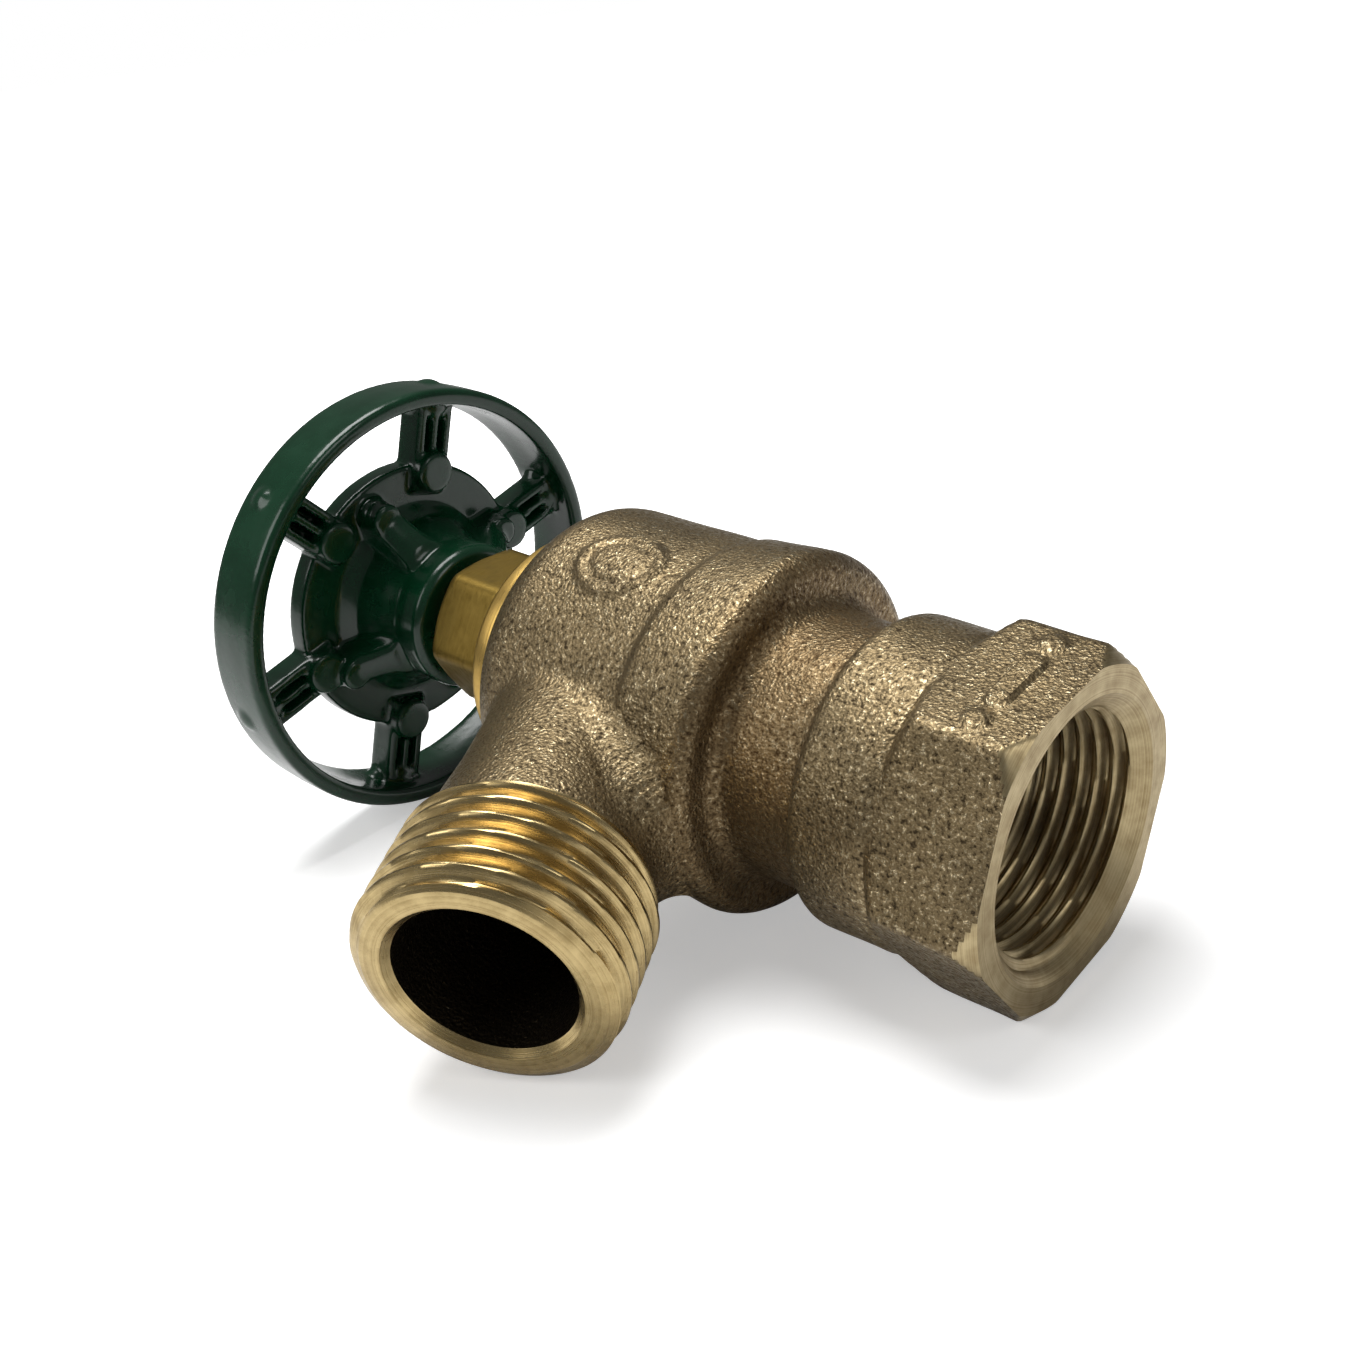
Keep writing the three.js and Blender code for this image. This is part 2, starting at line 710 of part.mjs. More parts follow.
function stem() {
  const buttonTop = stemButtonBottom + stemButtonThickness;
  const ridges = threadRidges(
    stemThreadRadius, stemThreadDepth, stemThreadPitch, stemThreadTurns, stemThreadFoot + stemThreadPitch / 2, 0);
  const threadTop = stemThreadFoot + stemThreadTurns * stemThreadPitch;
  const round = turned([
    [0, stemButtonBottom],
    [stemButtonRadius - 0.3, stemButtonBottom],
    [stemButtonRadius, stemButtonBottom + 0.3],
    [stemButtonRadius, buttonTop],
    [stemNeckRadius, buttonTop],
    [stemNeckRadius, stemThreadFoot - 0.6],
    [stemThreadRadius - stemThreadDepth, stemThreadFoot],
    ...ridges,
    [stemRadius, threadTop + 0.4],
    [stemRadius, stemShoulder],
    [0, stemShoulder],
  ], 24);
  const square = box(stemSquare, stemSquare, stemShoulder - 0.5, stemTop);
  const hole = cylinder(screwHoleRadius, stemTop - screwHoleDepth, stemTop + 1, 20);
  return mesh('stem', round.add(square).subtract(hole), innerBrass());
}

// ---- valve disc ----

function discHolder() {
  const outside = turned([
    [0, discBottom + 1],
    [holderOuterRadius, discBottom + 1],
    [holderOuterRadius, pocketFloor - 0.4],
    [holderOuterRadius - 0.4, pocketFloor],
    [holderNeckRadius, pocketFloor],
    [holderNeckRadius, holderNutBottom - restGap],
    [0, holderNutBottom - restGap],
  ], 32);
  const discPocket = cylinder(seatDiscRadius + restGap, discBottom - 1, roofBottom, 32);
  const buttonPocket = cylinder(stemButtonRadius + slideGap, pocketFloor, holderNutBottom + 1, 24);
  const screwHole = cylinder(discScrewRadius + restGap, roofBottom - 1, pocketFloor + 1, 20);
  return mesh('disc_holder', outside.subtract(discPocket).subtract(buttonPocket).subtract(screwHole), innerBrass());
}

function discHolderNut() {
  const top = holderNutBottom + holderNutThickness;
  const outside = hexagon(holderNutAcrossFlats, holderNutBottom, top);
  const hole = cylinder(stemNeckRadius + slideGap, holderNutBottom - 1, top + 1, 24);
  return mesh('disc_holder_nut', outside.subtract(hole), innerBrass());
}

function seatDisc() {
  return mesh('seat_disc', ring(discScrewRadius + restGap, seatDiscRadius, discBottom, discTop, 32), blackRubber());
}

function discWasher() {
  const top = discBottom - restGap;
  return mesh('disc_washer',
    ring(discScrewRadius + restGap, discWasherRadius, top - discWasherThickness, top, 24), innerBrass());
}

function discScrew() {
  const headTop = discBottom - 2 * restGap - discWasherThickness;
  const head = hexagon(discScrewHeadAcrossFlats, headTop - discScrewHeadHeight, headTop);
  const shank = cylinder(discScrewRadius, headTop - 0.5, pocketFloor - 0.2, 20);
  return mesh('disc_screw', head.add(shank), zincSteel());
}

// ---- handwheel ----

function wheelRim() {
  const top = rimFoot + rimHeight;
  const inner = wheelRadius - rimFootThickness;
  const innerTop = wheelRadius - rimTopThickness;
  return turned([
    [inner + 0.5, rimFoot],
    [wheelRadius - 0.7, rimFoot],
    [wheelRadius, rimFoot + 0.7],
    [wheelRadius, top - 1.0],
    [wheelRadius - 1.0, top],
    [innerTop + 0.6, top],
    [innerTop, top - 0.6],
    [inner, rimFoot + 0.5],
    [inner + 0.5, rimFoot],
  ], 48);
}

function spoke(angle) {
  const inner = wheelDiscRadius - 3;
  const outer = wheelRadius - rimFootThickness + 0.8;
  const middle = (inner + outer) / 2;
  const slab = box(outer - inner, spokeWidth, spokeTop - spokeDepth, spokeTop).translate([middle, 0, 0]);
  const grooveWidth = (spokeWidth - 2 * spokeWall - spokeRib) / 2;
  const reach = outer - wheelDiscRadius - 1.4;
  const grooveMiddle = wheelDiscRadius + 0.6 + reach / 2;
  const groove = box(reach, grooveWidth, spokeTop - spokeDepth - 1, spokeTop - spokeRoof);
  const offset = (grooveWidth + spokeRib) / 2;
  const left = groove.translate([grooveMiddle, offset, 0]);
  const right = groove.translate([grooveMiddle, -offset, 0]);
  return slab.subtract(left).subtract(right).rotate([0, 0, angle]);
}

function wheelBoss(angle) {
  const boss = turned([
    [0, wheelDiscFoot - bossDrop],
    [bossRadius - 0.5, wheelDiscFoot - bossDrop],
    [bossRadius, wheelDiscFoot - bossDrop + 0.5],
    [bossRadius, wheelDiscFoot + 1],
    [0, wheelDiscFoot + 1],
  ], 14);
  return boss.translate([bossCircleRadius, 0, 0]).rotate([0, 0, angle]);
}

function rimBump(angle) {
  const bump = new THREE.SphereGeometry(rimBumpRadius, 12, 8);
  const sphere = solid(bump).translate([
    wheelRadius - rimBumpRadius + rimBumpHeight, 0, spokeTop - rimBumpDrop]);
  return sphere.rotate([0, 0, angle]);
}

function wheelHub() {
  const waist = hubWaistHeight;
  return turned([
    [0, hubFoot],
    [hubFootRadius - 0.9, hubFoot],
    [hubFootRadius, hubFoot + 0.9],
    [hubFootRadius, waist - 0.8],
    [hubWaistRadius + 0.4, waist],
    [(hubWaistRadius + hubRootRadius) / 2, (waist + wheelDiscFoot) / 2 + 0.6],
    [hubRootRadius, wheelDiscFoot],
    [hubRootRadius, wheelDiscFoot + 1],
    [hubTopBossRadius + 0.5, wheelDiscFoot + wheelDiscThickness - 0.5],
    [hubTopBossRadius, hubTop - 0.4],
    [hubTopBossRadius - 0.4, hubTop],
    [0, hubTop],
  ], 36);
}

function hubWeb(angle) {
  const outline = new THREE.Shape();
  outline.moveTo(0, wheelDiscFoot + 0.5);
  outline.lineTo(0, hubWaistHeight);
  outline.lineTo(hubWaistRadius, hubWaistHeight);
  outline.lineTo(hubWebRadius, wheelDiscFoot - 1.5);
  outline.lineTo(hubWebRadius, wheelDiscFoot + 0.5);
  outline.closePath();
  const geometry = new THREE.ExtrudeGeometry(outline, { depth: hubWebThickness, bevelEnabled: false });
  geometry.rotateX(Math.PI / 2);
  geometry.translate(0, hubWebThickness / 2, 0);
  const tip = cylinder(hubWebThickness / 2, wheelDiscFoot - 1.5, wheelDiscFoot + 0.5, 16).translate([hubWebRadius, 0, 0]);
  return solid(geometry).add(tip).rotate([0, 0, angle]);
}

function handwheel() {
  const disc = turned([
    [0, wheelDiscFoot],
    [wheelDiscRadius - 0.5, wheelDiscFoot],
    [wheelDiscRadius, wheelDiscFoot + 0.5],
    [wheelDiscRadius, wheelDiscFoot + wheelDiscThickness - 0.7],
    [wheelDiscRadius - 0.7, wheelDiscFoot + wheelDiscThickness],
    [0, wheelDiscFoot + wheelDiscThickness],
  ], 40);
  let wheel = wheelRim().add(disc).add(wheelHub());
  for (let i = 0; i < spokes; i += 1) {
    const angle = spokeTurn + i * 360 / spokes;
    wheel = unionOf([wheel, spoke(angle), wheelBoss(angle), rimBump(angle)]);
  }
  for (let i = 0; i < hubWebs; i += 1) {
    wheel = wheel.add(hubWeb(hubWebTurn + i * 360 / hubWebs));
  }
  const hole = cylinder(stemRadius + restGap, hubFoot - 1, stemShoulder + restGap, 28);
  const socket = box(stemSquare + 2 * restGap, stemSquare + 2 * restGap, stemShoulder - 1, hubTop + 1);
  return mesh('handwheel', wheel.subtract(hole).subtract(socket), greenPaint());
}

const wheelWasherBottom = hubTop + restGap;

function wheelWasher() {
  const top = wheelWasherBottom + wheelWasherThickness;
  return mesh('wheel_washer', ring(screwHoleRadius + restGap, wheelWasherRadius, wheelWasherBottom, top, 28),
    zincSteel());
}

function wheelScrew() {
  const headBottom = wheelWasherBottom + wheelWasherThickness + restGap;
  const headTop = headBottom + wheelScrewHeadHeight;
  const shankRadius = screwHoleRadius - restGap;
  const round = turned([
    [0, stemTop - screwHoleDepth + restGap],
    [shankRadius, stemTop - screwHoleDepth + restGap],
    [shankRadius, headBottom],
    [wheelScrewHeadRadius, headBottom],
    [wheelScrewHeadRadius, headBottom + wheelScrewHeadHeight * 0.45],
    [wheelScrewHeadRadius * 0.8, headBottom + wheelScrewHeadHeight * 0.8],
    [wheelScrewHeadRadius * 0.45, headTop],
    [0, headTop],
  ], 24);
  const slot = box(2 * wheelScrewHeadRadius + 1, screwSlotWidth, headTop - screwSlotDepth, headTop + 1);
  return mesh('wheel_screw', round.subtract(slot.rotate([0, 0, screwSlotTurn])), zincSteel());
}

// ---- assembly ----

const valve = new THREE.Group();
valve.name = 'angle_globe_valve';
valve.add(valveBody(), bonnet(), bonnetGasket(), packingWasher(), packingGland(), packingNut());
for (let i = 0; i < packingRings; i += 1) {
  valve.add(packingRing(i));
}
valve.add(stem(), discHolder(), discHolderNut(), seatDisc(), discWasher(), discScrew());
valve.add(handwheel(), wheelWasher(), wheelScrew());

export default valve;
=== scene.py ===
import math

import bpy
import numpy as np
from mathutils import Matrix, Vector


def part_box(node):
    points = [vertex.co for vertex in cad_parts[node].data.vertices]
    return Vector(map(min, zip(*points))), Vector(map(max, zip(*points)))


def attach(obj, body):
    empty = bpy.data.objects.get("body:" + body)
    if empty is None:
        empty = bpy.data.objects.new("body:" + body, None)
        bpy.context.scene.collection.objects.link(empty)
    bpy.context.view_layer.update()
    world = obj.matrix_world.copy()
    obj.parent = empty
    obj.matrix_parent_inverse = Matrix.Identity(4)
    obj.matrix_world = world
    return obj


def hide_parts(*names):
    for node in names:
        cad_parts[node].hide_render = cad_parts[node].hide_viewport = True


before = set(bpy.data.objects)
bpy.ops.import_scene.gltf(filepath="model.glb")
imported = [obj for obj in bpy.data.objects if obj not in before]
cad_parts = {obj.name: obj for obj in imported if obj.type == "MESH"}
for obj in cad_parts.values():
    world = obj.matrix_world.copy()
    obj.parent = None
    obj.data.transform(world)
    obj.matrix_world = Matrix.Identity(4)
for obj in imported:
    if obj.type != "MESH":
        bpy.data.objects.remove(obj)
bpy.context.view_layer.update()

mm = 0.001
fullTurn = 2 * math.pi


def softMin(a, b, blend):
    # the smaller of two surfaces, rounded where they come within "blend" of each other
    near = np.maximum(blend - np.abs(a - b), 0) / blend
    return np.minimum(a, b) - near * near * blend / 4


def softMax(a, b, blend):
    return -softMin(-a, -b, blend)


def smoothStep(low, high, value):
    share = np.clip((value - low) / (high - low), 0, 1)
    return share * share * (3 - 2 * share)


def softCorners(points, radius, steps=5):
    # each corner of a line is replaced by a parabola that starts and ends "radius" away from it
    points = np.asarray(points, float)
    back = points[:-2] - points[1:-1]
    ahead = points[2:] - points[1:-1]
    backLength = np.linalg.norm(back, axis=1, keepdims=True)
    aheadLength = np.linalg.norm(ahead, axis=1, keepdims=True)
    reach = np.minimum(radius, 0.45 * np.minimum(backLength, aheadLength))
    start = points[1:-1] + back / backLength * reach
    end = points[1:-1] + ahead / aheadLength * reach
    t = np.linspace(0, 1, steps)[None, :, None]
    curve = (1 - t) ** 2 * start[:, None] + 2 * t * (1 - t) * points[1:-1][:, None] + t ** 2 * end[:, None]
    return np.concatenate([points[:1], curve.reshape(-1, 2), points[-1:]])


def evenly(points, spacing):
    # points along a line at about equal distances, its own corners left out
    steps = np.linalg.norm(np.diff(points, axis=0), axis=1)
    along = np.concatenate([[0], np.cumsum(steps)])
    count = max(int(round(along[-1] / spacing)), 1) + 1
    at = np.linspace(0, along[-1], count)
    return np.column_stack([np.interp(at, along, points[:, 0]), np.interp(at, along, points[:, 1])])


def makeMesh(name, points, quads, triangles):
    mesh = bpy.data.meshes.new(name)
    sizes = np.concatenate([np.full(len(quads), 4), np.full(len(triangles), 3)]).astype(np.int32)
    corners = np.concatenate([quads.ravel(), triangles.ravel()]).astype(np.int32)
    mesh.vertices.add(len(points))
    mesh.vertices.foreach_set("co", (points * mm).astype(np.float32).ravel())
    mesh.loops.add(len(corners))
    mesh.loops.foreach_set("vertex_index", corners)
    mesh.polygons.add(len(sizes))
    mesh.polygons.foreach_set("loop_start", np.concatenate([[0], np.cumsum(sizes)[:-1]]).astype(np.int32))
    mesh.update(calc_edges=True)
    mesh.validate()
    return mesh


def gridMesh(name, grid, closedRows=False):
    # a closed skin over a grid of rows: every row is a loop, and the rows either close on
    # themselves or end in a point at the middle of the first and last row
    rows, columns = grid.shape[:2]
    points = grid.reshape(-1, 3)
    lastRow = rows if closedRows else rows - 1
    i, j = np.meshgrid(np.arange(lastRow), np.arange(columns), indexing="ij")
    below, above = i * columns, ((i + 1) % rows) * columns
    right = (j + 1) % columns
    quads = np.stack([below + j, below + right, above + right, above + j], -1).reshape(-1, 4)
    triangles = np.zeros((0, 3), int)
    if not closedRows:
        points = np.concatenate([points, grid[:1].mean(1), grid[-1:].mean(1)])
        j = np.arange(columns)
        first = np.stack([(j + 1) % columns, j, np.full(columns, rows * columns)], -1)
        end = (rows - 1) * columns
        last = np.stack([end + j, end + (j + 1) % columns, np.full(columns, rows * columns + 1)], -1)
        triangles = np.concatenate([first, last])
    a, b, c = points[quads[:, 0]], points[quads[:, 1]], points[quads[:, 2]]
    d = points[quads[:, 3]]
    volume = np.einsum("ij,ij->", a, np.cross(b, c)) + np.einsum("ij,ij->", a, np.cross(c, d))
    if len(triangles):
        p, q, r = (points[triangles[:, k]] for k in range(3))
        volume += np.einsum("ij,ij->", p, np.cross(q, r))
    if volume < 0:
        quads = quads[:, ::-1]
        triangles = triangles[:, ::-1]
    return makeMesh(name, points, quads, triangles)


def turnedGrid(radii, heights, columns):
    # radius (rows, or rows by columns) and height swept round the Z axis
    angles = np.arange(columns) * fullTurn / columns
    radii = np.broadcast_to(np.asarray(radii, float).reshape(len(heights), -1), (len(heights), columns))
    heights = np.broadcast_to(np.asarray(heights, float)[:, None], radii.shape)
    return np.stack([radii * np.cos(angles), radii * np.sin(angles), heights], -1)


def turnedMesh(name, profile, columns=96, rounding=0.3, closed=False):
    # a lathe: a profile of (radius, height) corners, softened, and swept round the Z axis
    profile = np.asarray(profile, float)
    if closed:
        ring = np.concatenate([profile[-1:], profile, profile[:1]])
        soft = softCorners(ring, rounding)[1:-1]
    else:
        soft = softCorners(profile, rounding)
        soft = soft[soft[:, 0] > 0.01]
    return gridMesh(name, turnedGrid(soft[:, 0], soft[:, 1], columns), closed)


def softBlock(name, low, high, rounding, columns=40):
    # a block: a rounded rectangle carried upward, drawn in by a quarter circle at both ends
    low, high = np.asarray(low, float), np.asarray(high, float)
    half, middle = (high - low) / 2, (high + low) / 2
    angle = np.arange(columns) * fullTurn / columns + math.pi / columns
    quarter = np.linspace(0, math.pi / 2, 4)
    inset = rounding * (1 - np.sin(quarter))
    rise = rounding * (1 - np.cos(quarter))
    insets = np.concatenate([inset, inset[::-1]])
    heights = np.concatenate([low[2] + rise, (high[2] - rise)[::-1]])
    corner = np.minimum(rounding, half[:2].min() * 0.98)
    core = half[:2] - corner
    x = np.sign(np.cos(angle)) * core[0] + corner * np.cos(angle)
    y = np.sign(np.sin(angle)) * core[1] + corner * np.sin(angle)
    shrinkX = (half[0] - insets) / half[0]
    shrinkY = (half[1] - insets) / half[1]
    grid = np.stack([
        middle[0] + shrinkX[:, None] * x,
        middle[1] + shrinkY[:, None] * y,
        np.broadcast_to(heights[:, None], (len(heights), columns)),
    ], -1)
    return gridMesh(name, grid)


def moved(mesh, matrix):
    mesh.transform(matrix)
    return mesh


def turnZ(degrees):
    return Matrix.Rotation(math.radians(degrees), 4, "Z")


def boolean(base, tools, operation):
    # joins or cuts closed meshes, and returns a new mesh
    holder = bpy.data.objects.new("work", base)
    bpy.context.scene.collection.objects.link(holder)
    helpers = []
    for tool in tools:
        other = bpy.data.objects.new("tool", tool)
        bpy.context.scene.collection.objects.link(other)
        helpers.append(other)
        cut = holder.modifiers.new("cut", "BOOLEAN")
        cut.operation = operation
        cut.solver = "MANIFOLD"
        cut.object = other
    bpy.context.view_layer.update()
    result = bpy.data.meshes.new_from_object(holder.evaluated_get(bpy.context.evaluated_depsgraph_get()))
    for other in helpers + [holder]:
        bpy.data.objects.remove(other)
    return result


def addPiece(name, mesh, body, replaced, materials, sharp=38):
    piece = bpy.data.objects.new(name, mesh)
    bpy.context.scene.collection.objects.link(piece)
    mesh.materials.clear()
    for material in materials:
        mesh.materials.append(material)
    mesh.shade_smooth()
    mesh.set_sharp_from_angle(angle=math.radians(sharp))
    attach(piece, body)
    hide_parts(*replaced)
    return piece


def faceCentres(mesh):
    centres = np.zeros(len(mesh.polygons) * 3, np.float32)
    mesh.polygons.foreach_get("center", centres)
    return centres.reshape(-1, 3) / mm


def threadWave(turns, flat=0.14):
    # 0 in the groove and 1 on the ridge, with a flat on both and straight flanks between
    phase = np.abs((turns % 1) - 0.5) * 2
    slope = np.clip((phase - flat) / (1 - 2 * flat), 0, 1)
    return smoothStep(flat, 1 - flat, phase) * 0.25 + slope * 0.75


def makeGroup(name, inputs, outputs):
    group = bpy.data.node_groups.new(name, "ShaderNodeTree")
    for label, kind, value in inputs:
        socket = group.interface.new_socket(label, in_out="INPUT", socket_type=kind)
        if value is not None:
            socket.default_value = value
    for label, kind in outputs:
        group.interface.new_socket(label, in_out="OUTPUT", socket_type=kind)
    return group, group.nodes.new("NodeGroupInput"), group.nodes.new("NodeGroupOutput")


def addNode(tree, kind, links=(), **settings):
    # a node with its settings, and values or links for its inputs
    node = tree.nodes.new(kind)
    for key, value in settings.items():
        setattr(node, key, value)
    for socket, value in links:
        if isinstance(value, bpy.types.NodeSocket):
            tree.links.new(value, node.inputs[socket])
        else:
            node.inputs[socket].default_value = value
    return node


def mathNode(tree, operation, a, b=0.0):
    return addNode(tree, "ShaderNodeMath", [(0, a), (1, b)], operation=operation).outputs[0]


def rampNode(tree, value, stops):
    node = addNode(tree, "ShaderNodeValToRGB", [("Fac", value)])
    elements = node.color_ramp.elements
    while len(elements) < len(stops):
        elements.new(0.5)
    for element, (place, colour) in zip(elements, stops):
        element.position = place
        element.color = (*colour, 1) if isinstance(colour, tuple) else (colour, colour, colour, 1)
    return node.outputs["Color"]


def mixColour(tree, share, a, b, kind="MIX"):
    node = addNode(tree, "ShaderNodeMix", data_type="RGBA", blend_type=kind)
    for socket, value in ((0, share), (6, a), (7, b)):
        if isinstance(value, bpy.types.NodeSocket):
            tree.links.new(value, node.inputs[socket])
        elif socket == 0:
            node.inputs[0].default_value = value
        else:
            node.inputs[socket].default_value = (*value, 1)
    return node.outputs[2]


def sandGrainGroup():
    # grains a fraction of a millimetre wide: two noises and a cell pattern, as height and as fleck
    group, source, out = makeGroup("sandGrain", [
        ("Vector", "NodeSocketVector", None), ("Size", "NodeSocketFloat", 0.45)],
        [("Height", "NodeSocketFloat"), ("Fleck", "NodeSocketFloat"), ("Cloud", "NodeSocketFloat")])
    perMetre = mathNode(group, "DIVIDE", 1000.0, source.outputs["Size"])
    coarse = mathNode(group, "MULTIPLY", perMetre, 0.06)
    fine = addNode(group, "ShaderNodeTexNoise", [
        ("Vector", source.outputs["Vector"]), ("Scale", perMetre), ("Detail", 3.0), ("Roughness", 0.62)])
    cells = addNode(group, "ShaderNodeTexVoronoi", [
        ("Vector", source.outputs["Vector"]), ("Scale", mathNode(group, "MULTIPLY", perMetre, 1.5)),
        ("Randomness", 1.0)], feature="F1")
    cloud = addNode(group, "ShaderNodeTexNoise", [
        ("Vector", source.outputs["Vector"]), ("Scale", coarse), ("Detail", 3.0), ("Roughness", 0.55)])
    dome = mathNode(group, "SUBTRACT", 1.0, cells.outputs["Distance"])
    height = mathNode(group, "ADD", mathNode(group, "MULTIPLY", fine.outputs["Fac"], 0.65),
                      mathNode(group, "MULTIPLY", dome, 0.35))
    group.links.new(height, out.inputs["Height"])
    group.links.new(fine.outputs["Fac"], out.inputs["Fleck"])
    group.links.new(cloud.outputs["Fac"], out.inputs["Cloud"])
    return group


def toolMarksGroup():
    # rings left by a turning tool: noise that changes along the axis and outward, not round it
    group, source, out = makeGroup("toolMarks", [
        ("Vector", "NodeSocketVector", None), ("Pitch", "NodeSocketFloat", 0.12)],
        [("Height", "NodeSocketFloat"), ("Streak", "NodeSocketFloat")])
    parts = addNode(group, "ShaderNodeSeparateXYZ", [("Vector", source.outputs["Vector"])])
    across = mathNode(group, "SQRT", mathNode(
        group, "ADD", mathNode(group, "POWER", parts.outputs["X"], 2.0),
        mathNode(group, "POWER", parts.outputs["Y"], 2.0)))
    line = addNode(group, "ShaderNodeCombineXYZ", [("X", across), ("Y", parts.outputs["Z"])])
    perMetre = mathNode(group, "DIVIDE", 1000.0, source.outputs["Pitch"])
    rings = addNode(group, "ShaderNodeTexNoise", [
        ("Vector", line.outputs["Vector"]), ("Scale", perMetre), ("Detail", 2.0), ("Roughness", 0.6)])
    broad = addNode(group, "ShaderNodeTexNoise", [
        ("Vector", source.outputs["Vector"]), ("Scale", 420.0), ("Detail", 4.0), ("Roughness", 0.6)])
    group.links.new(rings.outputs["Fac"], out.inputs["Height"])
    streak = mathNode(group, "ADD", mathNode(group, "MULTIPLY", rings.outputs["Fac"], 0.5),
                      mathNode(group, "MULTIPLY", broad.outputs["Fac"], 0.5))
    group.links.new(streak, out.inputs["Streak"])
    return group


grainGroup = sandGrainGroup()
marksGroup = toolMarksGroup()


def newFinish(name):
    material = bpy.data.materials.new(name)
    material.use_nodes = True
    tree = material.node_tree
    return material, tree, tree.nodes["Principled BSDF"]


def placeGroup(tree, group, vector, **values):
    node = addNode(tree, "ShaderNodeGroup", node_tree=group)
    tree.links.new(vector, node.inputs["Vector"])
    for key, value in values.items():
        node.inputs[key].default_value = value
    return node


def objectVector(tree, axes=None):
    # the point itself, or its parts along three given directions from a given start
    place = addNode(tree, "ShaderNodeTexCoord").outputs["Object"]
    if axes is None:
        return place
    start, directions = axes
    fromStart = addNode(tree, "ShaderNodeVectorMath", [(0, place), (1, start)],
                        operation="SUBTRACT").outputs[0]
    parts = [addNode(tree, "ShaderNodeVectorMath", [(0, fromStart), (1, direction)],
                     operation="DOT_PRODUCT").outputs["Value"] for direction in directions]
    joined = addNode(tree, "ShaderNodeCombineXYZ", [("X", parts[0]), ("Y", parts[1]), ("Z", parts[2])])
    return joined.outputs[0]


def addBump(tree, shader, height, distance, strength=1.0):
    bump = addNode(tree, "ShaderNodeBump", [
        ("Height", height), ("Distance", distance * mm), ("Strength", strength)])
    tree.links.new(bump.outputs["Normal"], shader.inputs["Normal"])
    return bump


castLook = {
    "grain": 0.50, "depth": 0.24, "bump": 0.85, "metallic": 0.88,
    "pit": (0.045, 0.031, 0.015), "skin": (0.205, 0.154, 0.083), "crown": (0.50, 0.42, 0.27),
    "fleckStops": (0.33, 0.47, 0.56, 0.70),
    "clouds": [(0.35, (0.80, 0.79, 0.77)), (0.65, (1.12, 1.10, 1.06))],
    "gloss": [(0.35, 0.58), (0.66, 0.26)],
    # painted shade in the neck recess: its colour, the height of its middle, its reach and its strength
    "paintedNeckShade": (0.20, 0.095, 0.026), "paintedShadeHeight": 28.0, "paintedShadeReach": 8,
    "paintedShadeStops": [(0.50, 0.42), (0.85, 0.0)],
}


def castBronze(name="castBronze", paintedShadeScale=1.0):
    # sand-cast skin: dark pits, a brown skin and bright worn crowns, with painted shade, a darker and browner
    # band, round the neck recess
    material, tree, shader = newFinish(name)
    place = objectVector(tree)
    grain = placeGroup(tree, grainGroup, place, Size=castLook["grain"])
    # every colour is scaled by the last argument; below 1 this paints shade over the whole finish
    pit, skin, crown = (tuple(c * paintedShadeScale for c in castLook[k]) for k in ("pit", "skin", "crown"))
    stops = list(zip(castLook["fleckStops"], (pit, skin, skin, crown)))
    fleck = rampNode(tree, grain.outputs["Fleck"], stops)
    cloud = rampNode(tree, grain.outputs["Cloud"], castLook["clouds"])
    toned = mixColour(tree, 1.0, fleck, cloud, "MULTIPLY")
    parts = addNode(tree, "ShaderNodeSeparateXYZ", [("Vector", place)])
    # painted shade: round the neck recess between bulge and collar the colour is mixed towards a darker
    # brown, most at the middle height
    fromNeck = mathNode(tree, "SUBTRACT", parts.outputs["Z"], castLook["paintedShadeHeight"] * mm)
    neck = mathNode(tree, "ABSOLUTE", fromNeck)
    share = mathNode(tree, "MULTIPLY", neck, 1000.0 / castLook["paintedShadeReach"])
    recess = rampNode(tree, share, castLook["paintedShadeStops"])
    paintedNeckShade = mathNode(tree, "MULTIPLY", recess, grain.outputs["Cloud"])
    colour = mixColour(tree, paintedNeckShade, toned, tuple(c * paintedShadeScale for c in castLook["paintedNeckShade"]))
    tree.links.new(colour, shader.inputs["Base Color"])
    gloss = rampNode(tree, grain.outputs["Fleck"], castLook["gloss"])
    tree.links.new(gloss, shader.inputs["Roughness"])
    shader.inputs["Metallic"].default_value = castLook["metallic"]
    addBump(tree, shader, grain.outputs["Height"], castLook["depth"], castLook["bump"])
    return material


def turnedMetal(name, colour, worn, pitch=0.12, depth=0.012, rough=(0.20, 0.36), axes=None):
    # metal off the lathe: tool rings in the bump and the gloss, and patches of duller metal
    material, tree, shader = newFinish(name)
    place = objectVector(tree, axes)
    marks = placeGroup(tree, marksGroup, place, Pitch=pitch)
    tint = rampNode(tree, marks.outputs["Streak"], [(0.36, worn), (0.62, colour)])
    tree.links.new(tint, shader.inputs["Base Color"])
    gloss = rampNode(tree, marks.outputs["Streak"], [(0.35, rough[1]), (0.65, rough[0])])
    tree.links.new(gloss, shader.inputs["Roughness"])
    shader.inputs["Metallic"].default_value = 1.0
    addBump(tree, shader, marks.outputs["Height"], depth)
    return material


enamelLook = {
    "deep": (0.0008, 0.020, 0.0070), "green": (0.0014, 0.034, 0.0125), "dust": (0.05, 0.12, 0.085),
    "peelScale": 700.0, "patchScale": 130.0, "dustScale": 2600.0, "dustStops": [(0.72, 0.0), (0.80, 0.12)],
    "gloss": [(0.35, 0.20), (0.75, 0.34)], "specular": 0.30, "coat": 0.35, "coatRoughness": 0.10,
    "depth": 0.05, "bump": 0.6,
}


